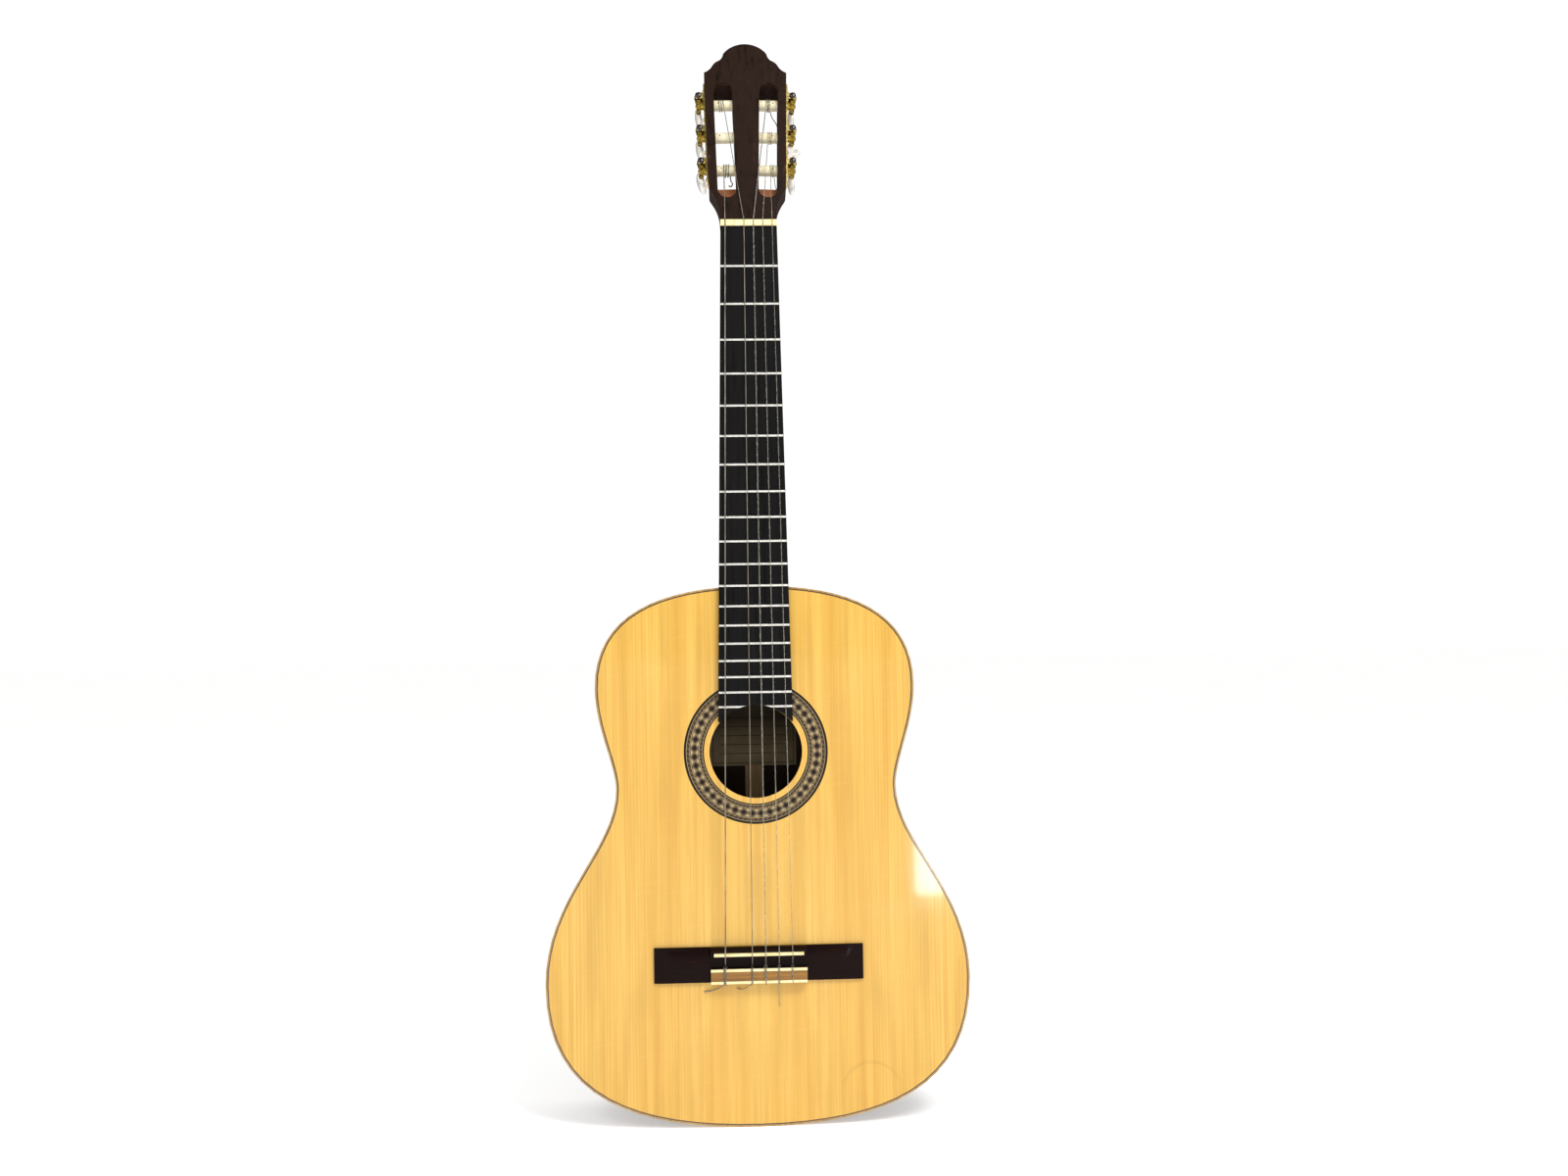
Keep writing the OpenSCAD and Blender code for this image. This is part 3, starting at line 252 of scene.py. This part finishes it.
def bone(name, dark, light):
    """Bone: faint clouds and fine pits."""
    r = Recipe(name, coat_weight=0.3, coat_roughness=0.2, subsurface_weight=0.12, subsurface_scale=0.002)
    cloud = r.noise(r.scaled((0.006, 0.006, 0.006)), detail=3.0)
    pits = r.cells(r.scaled((0.0011, 0.0004, 0.0004)))
    base = r.ramp(cloud, (0.35, dark), (0.65, light))
    base = r.mix(r.between(pits, 0.12, 0.0, 0.0, 0.4), base, colour("a98c58"))
    r.bump(pits, 0.00004, 0.25)
    return r.finish(base, r.between(cloud, 0.3, 0.7, 0.28, 0.42))


def pearl(name):
    """Pearloid plastic: swirled flakes that differ in tint and gloss."""
    r = Recipe(name, coat_weight=0.8, coat_roughness=0.08, subsurface_weight=0.15, subsurface_scale=0.003)
    swirl = r.noise(r.scaled((0.006, 0.006, 0.006)), detail=2.0, distortion=1.5)
    feeds = {0: 0.35, 4: r.scaled((0.0035, 0.0035, 0.005)), 5: r.point(swirl, swirl, swirl)}
    bent = r.add("ShaderNodeMix", feeds, data_type="VECTOR").outputs[1]
    flake = r.cells(bent, output="Color", scale=1.6)
    tone = r.math("ADD", r.math("MULTIPLY", r.axes(flake)[0], 0.65), r.math("MULTIPLY", swirl, 0.35))
    base = r.ramp(tone, (0.2, "c9c4b8"), (0.5, "efebe0"), (0.8, "fffdf6"))
    r.bump(tone, 0.00006, 0.15)
    return r.finish(base, r.between(tone, 0.2, 0.8, 0.32, 0.14))


def nylon(name):
    """Clear nylon, a little scuffed along its length."""
    r = Recipe(name, transmission_weight=0.85, ior=1.33, coat_weight=0.1, coat_roughness=0.15)
    scuff = r.noise(r.scaled((0.0008, 0.0008, 0.006)), detail=3.0)
    r.bump(scuff, 0.00002, 0.2)
    return r.finish(r.ramp(scuff, (0.3, "c9c3b2"), (0.7, "e6e2d6")), r.between(scuff, 0.3, 0.7, 0.16, 0.3))


# Spacing of the turns of wire round a wound string, as its bump shows them
WINDING_PITCH = 0.5 * MM


def wound(name):
    """Silvered winding round a wound string, with tarnish along its length and painted shade between its turns."""
    r = Recipe(name, metallic=0.85)
    turns = r.math("SINE", r.math("MULTIPLY", r.axes()[2], math.tau / WINDING_PITCH))
    tarnish = r.noise(r.scaled((0.002, 0.002, 0.02)), detail=4.0, roughness=0.6)
    base = r.ramp(tarnish, (0.35, "857c6e"), (0.55, "aea596"), (0.75, "cdc7bb"))
    # Painted shade in the grooves between the turns of wire
    base = r.mix(r.between(turns, -1.0, 0.0, 0.55, 0.0), base, colour("3c2f1c"))
    r.bump(turns, 0.00006, 0.6)
    return r.finish(base, r.between(tarnish, 0.3, 0.7, 0.42, 0.28))


def ivory(name):
    """Ivory-coloured roller plastic with fine lines and yellowed clouds."""
    r = Recipe(name, coat_weight=0.4, coat_roughness=0.15, subsurface_weight=0.1, subsurface_scale=0.002)
    lines = r.noise(r.scaled((0.003, 0.0007, 0.0007)), detail=3.0, roughness=0.6)
    cloud = r.noise(r.scaled((0.008, 0.008, 0.008)), detail=2.0)
    base = r.ramp(lines, (0.3, "dccb9c"), (0.5, "f0e5c2"), (0.7, "f9f2da"))
    base = r.mix(r.between(cloud, 0.5, 0.75, 0.0, 0.3), base, colour("d8bd82"))
    r.bump(lines, 0.00003, 0.2)
    return r.finish(base, r.between(lines, 0.3, 0.7, 0.3, 0.42))


def paper():
    """An aged paper label: a ruled border and blank writing lines."""
    r = Recipe("paper_label", specular_ior_level=0.2)
    x, y, z = r.axes()
    fibres = r.noise(r.scaled((0.0015, 0.0015, 0.0006), turn=(0, 0.6, 0)), detail=4.0, roughness=0.7)
    stain = r.noise(r.scaled((0.03, 0.03, 0.02)), detail=3.0)
    base = r.ramp(stain, (0.3, "b39a72"), (0.55, "c9b48c"), (0.75, "d6c5a0"))
    base = r.mix(r.between(fibres, 0.45, 0.7, 0.0, 0.35), base, colour("a38960"))
    middle = (label_low + label_high) / 2
    size = label_high - label_low
    from_side = r.math("SUBTRACT", size.x / 2, r.math("ABSOLUTE", r.math("SUBTRACT", x, middle.x)))
    from_end = r.math("SUBTRACT", size.z / 2, r.math("ABSOLUTE", r.math("SUBTRACT", z, middle.z)))
    edge = r.math("MINIMUM", from_side, from_end)
    border = r.math("MULTIPLY", r.math("GREATER_THAN", edge, 0.0022), r.math("LESS_THAN", edge, 0.0029))
    inside = r.math("GREATER_THAN", edge, 0.009)
    rule = r.math("LESS_THAN", r.math("FRACT", r.math("DIVIDE", z, 0.0085)), 0.07)
    ink = r.math("MAXIMUM", border, r.math("MULTIPLY", inside, rule))
    base = r.mix(r.math("MULTIPLY", ink, 0.8), base, colour("2a1f14"))
    # Painted shade inside the body: the whole label is darkened, most towards its upper edge
    painted_shade_on_label = r.between(z, label_low.z + 0.2 * size.z, label_low.z + 0.75 * size.z, 0.45, 0.93)
    base = r.mix(painted_shade_on_label, base, colour("120c08"))
    r.bump(fibres, 0.00005, 0.3)
    return r.finish(base, r.between(fibres, 0.3, 0.7, 0.7, 0.9))


def painted_dark_reflection_cap():
    """The worms' domed ends in near-black, a painted dark reflection of the room in their gold, a little worn."""
    r = Recipe("painted_dark_reflection_cap", coat_weight=0.6, coat_roughness=0.1)
    wear = r.noise(r.scaled((0.0015, 0.0015, 0.0015)), detail=4.0)
    r.bump(wear, 0.00003, 0.2)
    return r.finish(r.ramp(wear, (0.4, "120c08"), (0.8, "2a1f16")), r.between(wear, 0.3, 0.7, 0.2, 0.4))


def tile_wood(name, dark, light):
    """One of the woods that the mosaic's strips are cut from."""
    r = Recipe(name, coat_weight=0.3, coat_roughness=0.12, specular_ior_level=0.1)
    grain = r.noise(r.scaled((0.0006, 0.0006, 0.0006)), detail=3.0)
    return r.finish(r.ramp(grain, (0.3, dark), (0.7, light)), r.between(grain, 0.3, 0.7, 0.35, 0.5))


# Grain sizes of the neck's and the head's wood, long along Z
LONG = (0.0016, 0.0016, 0.06)
finishes = {
    "spruce_top": spruce_top(),
    "back_wood": dark_wood("back_wood", 0.01, (0.006, 0.006, 0.3), "1d0d08", "3a1c11", "5f3320", 0.6),
    "maple_strip": plain_wood("maple_strip", (0.002, 0.002, 0.03), "b08448", "d9b678", 0.35, 0.8),
    "brace_wood": plain_wood("brace_wood", (0.0015, 0.0015, 0.08), "a5814f", "c9a877", 0.6),
    "binding": plain_wood("binding", (0.003, 0.0015, 0.03), "97733c", "c3a062", 0.3, 0.6),
    "purfling": plain_wood("purfling", (0.002, 0.002, 0.03), "2c1a0d", "4a2f18", 0.4, 1.0),
    "neck_wood": plain_wood("neck_wood", LONG, "6b3517", "a55c2a", 0.4, 0.6),
    "head_veneer": dark_wood("head_veneer", 0.004, (0.005, 0.005, 0.16), "0e0704", "25160e", "46301f", 0.04),
    "fingerboard_wood": dark_wood("fingerboard_wood", 0.004, (0.003, 0.003, 0.1),
                                  "0b0a0a", "161516", "272321", 0.0, 0.5),
    "fret_metal": metal("fret_metal", "e2dfd6", "fbfaf5", 0.34, (0.0003, 0.0003, 0.004)),
    "bone": bone("bone", "efdc9a", "f9edbe"),
    "rosette_mosaic": tile_wood("rosette_mosaic", "1c120c", "2b1c12"),
    "paper_label": paper(),
    "bridge_wood": dark_wood("bridge_wood", 0.004, (0.05, 0.003, 0.003), "0a0201", "150503", "2c1009", 0.04),
    "nylon": nylon("nylon"),
    "wound_string": wound("wound_string"),
    "gilt_plate": metal("gilt_plate", "b08f3a", "f2dc96", 0.24),
    "roller_ivory": ivory("roller_ivory"),
    # The gear's and the worms' darker olive tints are partly a painted dark reflection of the room in their gold
    "gear_brass": metal("gear_brass", "7a6626", "bfa552", 0.34),
    "worm_metal": metal("worm_metal", "453a18", "8d7833", 0.36),
    "pearl_button": pearl("pearl_button"),
}
extra_finishes = {
    "tie_block_top": plain_wood("tie_block_top", (0.03, 0.0015, 0.0015), "6a430f", "a9761c", 0.4, 0.15),
    "painted_dark_reflection_cap": painted_dark_reflection_cap(),
    "head_walls_painted_shade": plain_wood("head_walls_painted_shade", LONG, "160a06", "301a10", 0.6, 0.0, 0.1),
    "inside_wood": plain_wood("inside_wood", (0.002, 0.002, 0.06), "20130b", "35200f", 0.8),
    "tile_dark": tile_wood("tile_dark", "0e0704", "1a0f09"),
    "tile_brown": tile_wood("tile_brown", "372719", "4a3725"),
    "tile_tan": tile_wood("tile_tan", "68573e", "7d6b4e"),
    "tile_cream": tile_wood("tile_cream", "a8946a", "c2ad80"),
}


# ---- CAD nodes: shading and finishes --------------------------------------------

def mark_creases(mesh, crease):
    """Shades the mesh smooth but for edges sharper than crease, told by position because seams are split."""
    if "custom_normal" in mesh.attributes:
        mesh.attributes.remove(mesh.attributes["custom_normal"])
    keys = [tuple(round(c * 1e6) for c in v.co) for v in mesh.vertices]
    facing = {}
    for face in mesh.polygons:
        for a, b in face.edge_keys:
            facing.setdefault(frozenset((keys[a], keys[b])), []).append(face.normal.copy())
    for edge in mesh.edges:
        around = facing.get(frozenset((keys[edge.vertices[0]], keys[edge.vertices[1]])), [])
        edge.use_edge_sharp = len(around) != 2 or around[0].angle(around[1], 0.0) > crease
    for face in mesh.polygons:
        face.use_smooth = True


def dress(node, finish, bevel=0.0, crease=math.radians(28)):
    """Gives a CAD node its finish, smooth shading and, where asked, eased edges."""
    piece = nodes[node]
    piece.data.materials.clear()
    piece.data.materials.append(finish)
    mark_creases(piece.data, crease)
    weld = piece.modifiers.new("weld", "WELD")
    weld.merge_threshold = 1e-6
    if bevel:
        flat = piece.modifiers.new("flat_faces", "DECIMATE")
        flat.decimate_type = "DISSOLVE"
        flat.angle_limit = math.radians(0.2)
        ease = piece.modifiers.new("eased_edges", "BEVEL")
        ease.width = bevel
        ease.segments = 2
        ease.limit_method = "ANGLE"
        ease.angle_limit = math.radians(40)
        ease.harden_normals = True
    return piece


# Width of the eased edges, in millimetres
EASED = {
    "bridge": 0.35, "tie_block_strips": 0.2, "fingerboard": 0.25, "head_plate": 0.3, "nut": 0.35,
    "saddle": 0.25, "tuner_plate_left": 0.15, "tuner_plate_right": 0.15, "heel_cap": 0.3,
}
for subpart in frame["record"]["subparts"]:
    name = subpart["node"]
    dress(name, finishes[subpart["material_slot"]], EASED.get(name, 0.0) * MM)


def paint_faces(node, finish, wanted):
    """Gives the faces of a CAD node that pass a test their own finish."""
    mesh = nodes[node].data
    mesh.materials.append(finish)
    for face in mesh.polygons:
        if wanted(face):
            face.material_index = 1


def in_outline(face):
    """True for a rib's face that looks towards the middle of the body."""
    return face.normal.x * face.center.x + face.normal.z * (face.center.z - body_height / 2) < 0


def head_wall(face):
    """True for the head's slot walls and sides, which get a near-black finish, painted shade in the slots; the
    ramps and faces do not.
    """
    return abs(face.normal.dot(HEAD_FRONT)) < 0.6


# Distance from a worm's middle to its domed end, painted near-black as a dark reflection
CAP_FRONT = 5.45 * MM
paint_faces("headstock", extra_finishes["head_walls_painted_shade"], head_wall)
paint_faces("bridge", extra_finishes["tie_block_top"], lambda face: face.center.y < strip_low.y + 0.1 * MM)
paint_faces("back_panels", extra_finishes["inside_wood"], lambda face: face.normal.y < -0.9)
for node in ("side_left", "side_right"):
    paint_faces(node, extra_finishes["inside_wood"], in_outline)
for n in range(1, 7):
    knob = joints["knob_%d_turn" % n]
    knob_place, knob_axis = Vector(knob["pos_m"]), Vector(knob["axis"])
    paint_faces("worm_%d" % n, extra_finishes["painted_dark_reflection_cap"],
                lambda face: (face.center - knob_place).dot(knob_axis) > CAP_FRONT)


# ---- New pieces -----------------------------------------------------------------

def new_piece(name, points, faces, looks, body, face_looks=None, smooth=True):
    """A mesh piece that rides on a body and takes a material slot."""
    mesh = bpy.data.meshes.new(name)
    mesh.from_pydata(points, [], faces)
    for look in looks:
        mesh.materials.append(look)
    for i, face in enumerate(mesh.polygons):
        face.use_smooth = smooth
        face.material_index = face_looks[i] if face_looks else 0
    piece = bpy.data.objects.new(name, mesh)
    bpy.context.scene.collection.objects.link(piece)
    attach(piece, body)
    return piece


def smooth_line(points, steps=5):
    """A curve through the given points, in the same unit."""
    path = [Vector(p) for p in points]
    path = [2 * path[0] - path[1]] + path + [2 * path[-1] - path[-2]]
    line = []
    for a, b, c, d in zip(path, path[1:], path[2:], path[3:]):
        for i in range(steps):
            t = i / steps
            line.append((2 * b + (c - a) * t + (2 * a - 5 * b + 4 * c - d) * t ** 2
                         + (3 * b - a - 3 * c + d) * t ** 3) / 2)
    return line + [path[-2]]


def tube(name, line, radius, slot, body, sides=10):
    """A round strand with domed ends along a line in metres."""
    first = (line[1] - line[0]).normalized()
    last = (line[-1] - line[-2]).normalized()
    centres = [line[0] - first * radius * 0.5] + line + [line[-1] + last * radius * 0.5]
    radii = [radius * 0.6] + [radius] * len(line) + [radius * 0.6]
    side = first.orthogonal().normalized()
    points, faces = [], []
    for i, (centre, size) in enumerate(zip(centres, radii)):
        along = (centres[min(i + 1, len(centres) - 1)] - centres[max(i - 1, 0)]).normalized()
        side = (side - along * side.dot(along)).normalized()
        up = along.cross(side)
        for k in range(sides):
            w = math.tau * k / sides
            points.append(centre + size * (math.cos(w) * side + math.sin(w) * up))
    for i in range(len(centres) - 1):
        for k in range(sides):
            a, b = i * sides + k, i * sides + (k + 1) % sides
            faces.append((a, b, b + sides, a + sides))
    faces.append(tuple(range(sides - 1, -1, -1)))
    faces.append(tuple(range(len(points) - sides, len(points))))
    return new_piece(name, points, faces, [finishes[slot]], body)


# Rosette: rings from the outside in, in millimetres of radius, with the way each is laid
MOTIFS = 44
MOTIF_STEPS = 8
CREAM, TAN, BROWN, DARK = range(4)
RINGS = (
    (64.5, 62.4, "dark"), (62.4, 62.0, "cream"), (62.0, 61.5, "dark"), (61.5, 60.4, "herringbone"),
    (60.4, 59.3, "herringbone_back"), (59.3, 58.9, "cream"), (58.9, 58.4, "dark"),
    (58.4, 51.6, "mosaic"), (51.6, 51.1, "dark"), (51.1, 50.7, "cream"), (50.7, 49.6, "herringbone"),
    (49.6, 48.5, "herringbone_back"), (48.5, 48.1, "dark"), (48.1, 47.7, "cream"), (47.7, 46.5, "dark"),
)


def tile(kind, row, column):
    """Which wood a cell of the mosaic is cut from."""
    if kind == "dark":
        return DARK
    if kind == "cream":
        return CREAM
    if kind == "herringbone":
        return TAN if column % 4 < 1 else BROWN
    if kind == "herringbone_back":
        return TAN if column % 4 == 1 else BROWN
    middle = (MOTIF_STEPS - 1) / 2
    away = abs(row - middle) + abs(column % MOTIF_STEPS - middle)
    if away < 2.5:
        return DARK
    if away < 3.5:
        return BROWN
    return TAN if away < 5.5 else CREAM


def rosette_inlay():
    """The mosaic ring, a cell to each strip of wood, with plain sides and back."""
    columns = MOTIFS * MOTIF_STEPS
    rows = []
    for outer, inner, kind in RINGS:
        count = MOTIF_STEPS if kind == "mosaic" else 1
        for i in range(count):
            rows.append((outer + (inner - outer) * i / count, kind, i))
    radii = [row[0] for row in rows] + [RINGS[-1][1]]
    points, faces, looks = [], [], []

    def ring(radius, y):
        for column in range(columns):
            w = math.tau * column / columns
            points.append((radius * MM * math.cos(w), y, rosette_centre.z + radius * MM * math.sin(w)))
        return len(points) - columns

    front = [ring(radius, hole_low.y) for radius in radii]
    back_outer, back_inner = ring(radii[0], hole_high.y), ring(radii[-1], hole_high.y)

    def band(a, b, tiles):
        for column in range(columns):
            after = (column + 1) % columns
            faces.append((a + column, b + column, b + after, a + after))
            looks.append(tiles(column))

    for i, (_, kind, row) in enumerate(rows):
        band(front[i], front[i + 1], lambda column: tile(kind, row, column))
    band(front[-1], back_inner, lambda column: DARK)
    band(back_inner, back_outer, lambda column: DARK)
    band(back_outer, front[0], lambda column: DARK)
    woods = [extra_finishes["tile_" + name] for name in ("cream", "tan", "brown", "dark")]
    piece = new_piece("rosette_inlay", points, faces, woods, "root", looks, False)
    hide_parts("rosette")


rosette_inlay()


# ---- Strings at the rollers and the tie block ------------------------------------

# Radius of each string, and the spacing of the strings at the saddle, in millimetres
RADIUS = {1: 0.355, 2: 0.41, 3: 0.515, 4: 0.38, 6: 0.55}
SADDLE_PITCH = 11.9
# The guitar's middle lies between the 3rd and the 4th string
MIDDLE_STRING = 3.5
SADDLE_X = {n: (MIDDLE_STRING - n) * SADDLE_PITCH for n in RADIUS}
STRING_SLOT = {n: "wound_string" if n > 3 else "nylon" for n in RADIUS}
STEPS_PER_TURN = 28


def string_end(n):
    """Middle of a string's last ring, where it meets its roller."""
    places = sorted({tuple(round(c, 7) for c in v.co) for v in nodes["string_%d" % n].data.vertices},
                    key=lambda place: place[2])[-8:]
    return sum((Vector(place) for place in places), Vector()) / len(places)


# Turns on the roller, pitch of the turns outwards, and the free end's bends after them, in millimetres
WINDINGS = {
    1: (2.62, 1.5, ((0.5, 1, -5), (1.5, -4, -12), (3.5, -9, -20))),
    2: (2.5, 1.6, ()),
    3: (2.62, 1.5, ((1.5, 0.5, -5), (4.5, -1, -10), (6.5, -2, -15))),
    4: (2.5, 1.9, ()),
    6: (2.65, -2.2, ((0.5, 0.5, -3.5), (2.0, -1.0, -6.5), (0.2, -2.0, -9.5), (-1.6, -1, -8))),
}


def winding(n):
    """The turns of a string on its roller and its free end, which go with the roller."""
    turns, pitch, bends = WINDINGS[n]
    pin = joints["roller_%d_turn" % n]
    middle, axis = Vector(pin["pos_m"]), Vector(pin["axis"]).normalized()
    up = (HEAD_UP - axis * HEAD_UP.dot(axis)).normalized()
    front = Vector(joints["knob_%d_turn" % n]["axis"])
    arrival = string_end(n) - middle
    start = math.atan2(arrival.dot(up), arrival.dot(front))
    reach = math.hypot(arrival.dot(up), arrival.dot(front))
    count = round(turns * STEPS_PER_TURN)
    line = []
    for i in range(count + 1):
        w = start + math.tau * turns * i / count
        s = arrival.dot(axis) + pitch * MM * turns * i / count
        line.append(middle + axis * s + reach * (math.cos(w) * front + math.sin(w) * up))
    if bends:
        line = line[:-1] + smooth_line([line[-1]] + [line[-1] + Vector(bend) * MM for bend in bends])
    else:
        line.append(line[-1] + (middle + axis * s - line[-1]) * 0.5)
    tube("winding_%d" % n, line, RADIUS[n] * MM, STRING_SLOT[n], "string_roller_%d" % n)


# Free ends below the tie block, in millimetres: X from each string, Y and Z in the frame
TAILS = {
    1: (), 3: (),
    2: ((0, -47.5, 124.6), (0.6, -43.2, 118), (1.2, -42, 106)),
    4: ((-3, -48.2, 125.2), (-8, -43.6, 121.8), (-13, -42, 122.4)),
    6: ((-3, -48.2, 125.4), (-10, -43.4, 121.4), (-18, -42.2, 120)),
}


def knot(n):
    """The loop that ties a string in front of the tie block, and its end laid over the block."""
    x, r = SADDLE_X[n], RADIUS[n]
    top = strip_low.y / MM - r - 0.05
    high = strip_high.z / MM
    low = strip_low.z / MM
    # Up over the strips' upper edge, across behind it and back down in front, in millimetres
    path = [
        (x, top, high - 3), (x, top, high - 0.2), (x + 0.4, top + 1.2, high + 0.7 + r),
        (x + 2 * r + 0.3, top + 3.2, high + 1 + r), (x + r + 0.4, top + 5.0, high + 1.4 + r),
        (x - r - 0.4, top + 5.0, high + 1.4 + r), (x - 2 * r - 0.3, top + 3.0, high + 1 + r),
        (x - 2 * r - 0.3, top + 0.8, high + 0.3 + r), (x - 2 * r - 0.1, top, high - 2.2),
        (x - 2 * r, top, low + 5),
    ]
    if TAILS[n]:
        path.append((x - 2 * r, top, low + 0.5))
        path += [(x - 2 * r + dx, y, z) for dx, y, z in TAILS[n]]
    tube("knot_%d" % n, [p * MM for p in smooth_line(path)], r * MM, STRING_SLOT[n], "root")


for n in WINDINGS:
    winding(n)
    knot(n)


# ---- Stage, light and camera ----------------------------------------------------

def soft_light(name, place, target, width, height, power, tint="ffffff"):
    """A rectangular lamp at a place, turned towards a target and out of the camera's sight."""
    data = bpy.data.lights.new(name, "AREA")
    data.shape = "RECTANGLE"
    data.size = width
    data.size_y = height
    data.energy = power
    data.color = colour(tint)[:3]
    lamp = bpy.data.objects.new(name, data)
    bpy.context.scene.collection.objects.link(lamp)
    lamp.location = place
    lamp.rotation_euler = (Vector(target) - Vector(place)).to_track_quat("-Z", "Y").to_euler()
    lamp.visible_camera = False
    return lamp


soft_light("key", (0.75, -1.35, 2.0), (0, 0, 0.4), 0.7, 0.7, 27)
soft_light("gloss_strip", (0.313, -1.15, 0.06), (0.15, 0, 0.226), 0.045, 0.1, 0.4)
soft_light("shoulder", (-0.75, -1.1, 1.35), (-0.1, 0, 0.45), 0.3, 0.3, 3)


# Strength of the world for matt rays, for glossy rays and for the camera
WORLD_DIFFUSE = 0.62
WORLD_GLOSS = 0.2
WORLD_SEEN = 1.05


def studio_world():
    """White to the eye and to matt surfaces, dim in gloss so that dark varnish stays dark."""
    world = bpy.data.worlds.new("studio")
    world.use_nodes = True
    tree = world.node_tree
    back = tree.nodes["Background"]
    rays = tree.nodes.new("ShaderNodeLightPath")
    glossy = tree.nodes.new("ShaderNodeMapRange")
    glossy.inputs["To Min"].default_value = WORLD_DIFFUSE
    glossy.inputs["To Max"].default_value = WORLD_GLOSS
    seen = tree.nodes.new("ShaderNodeMix")
    seen.inputs[3].default_value = WORLD_SEEN
    tree.links.new(rays.outputs["Is Glossy Ray"], glossy.inputs["Value"])
    tree.links.new(rays.outputs["Is Camera Ray"], seen.inputs[0])
    tree.links.new(glossy.outputs[0], seen.inputs[2])
    tree.links.new(seen.outputs[0], back.inputs["Strength"])
    back.inputs["Color"].default_value = (1, 1, 1, 1)
    return world


bpy.context.scene.world = studio_world()
bpy.context.scene.view_settings.view_transform = "Standard"


# Half the floor's side in metres, and the strength of its glow
FLOOR_REACH = 40.0
FLOOR_GLOW = 0.42


def pale_floor():
    """A matt near-white floor with a faint glow, so that it stays pale."""
    r = Recipe("pale_floor", specular_ior_level=0.1)
    speck = r.noise(r.scaled((0.4, 0.4, 0.4)), detail=4.0)
    r.feed(r.shader.inputs["Emission Color"], (1, 1, 1, 1))
    r.feed(r.shader.inputs["Emission Strength"], FLOOR_GLOW)
    return r.finish(r.ramp(speck, (0.3, "f8f8f7"), (0.7, "fcfcfb")), r.between(speck, 0.3, 0.7, 0.9, 1.0))


floor_mesh = bpy.data.meshes.new("floor")
floor_mesh.from_pydata(
    [(x * FLOOR_REACH, y * FLOOR_REACH, 0) for x, y in ((-1, -1), (1, -1), (1, 1), (-1, 1))],
    [], [(0, 1, 2, 3)])
floor = bpy.data.objects.new("floor", floor_mesh)
bpy.context.scene.collection.objects.link(floor)
floor.location.z = floor_level
floor_mesh.materials.append(pale_floor())

CAMERA_PLACE = (-0.0351, -1.3607, 0.4287)
CAMERA_YAW, CAMERA_PITCH, CAMERA_ROLL = 2.71, -2.12, -0.862
camera = bpy.data.objects.new("camera", bpy.data.cameras.new("camera"))
bpy.context.scene.collection.objects.link(camera)
camera.data.lens = 33.75
camera.data.sensor_width = 36.0
camera.data.clip_start = 0.05
turn = (Matrix.Rotation(math.radians(-CAMERA_YAW), 4, "Z")
        @ Matrix.Rotation(math.radians(-CAMERA_PITCH), 4, "X")
        @ Matrix.Rotation(math.radians(-CAMERA_ROLL), 4, "Y")
        @ Matrix.Rotation(math.radians(90), 4, "X"))
camera.matrix_world = Matrix.Translation(CAMERA_PLACE) @ turn
bpy.context.scene.camera = camera
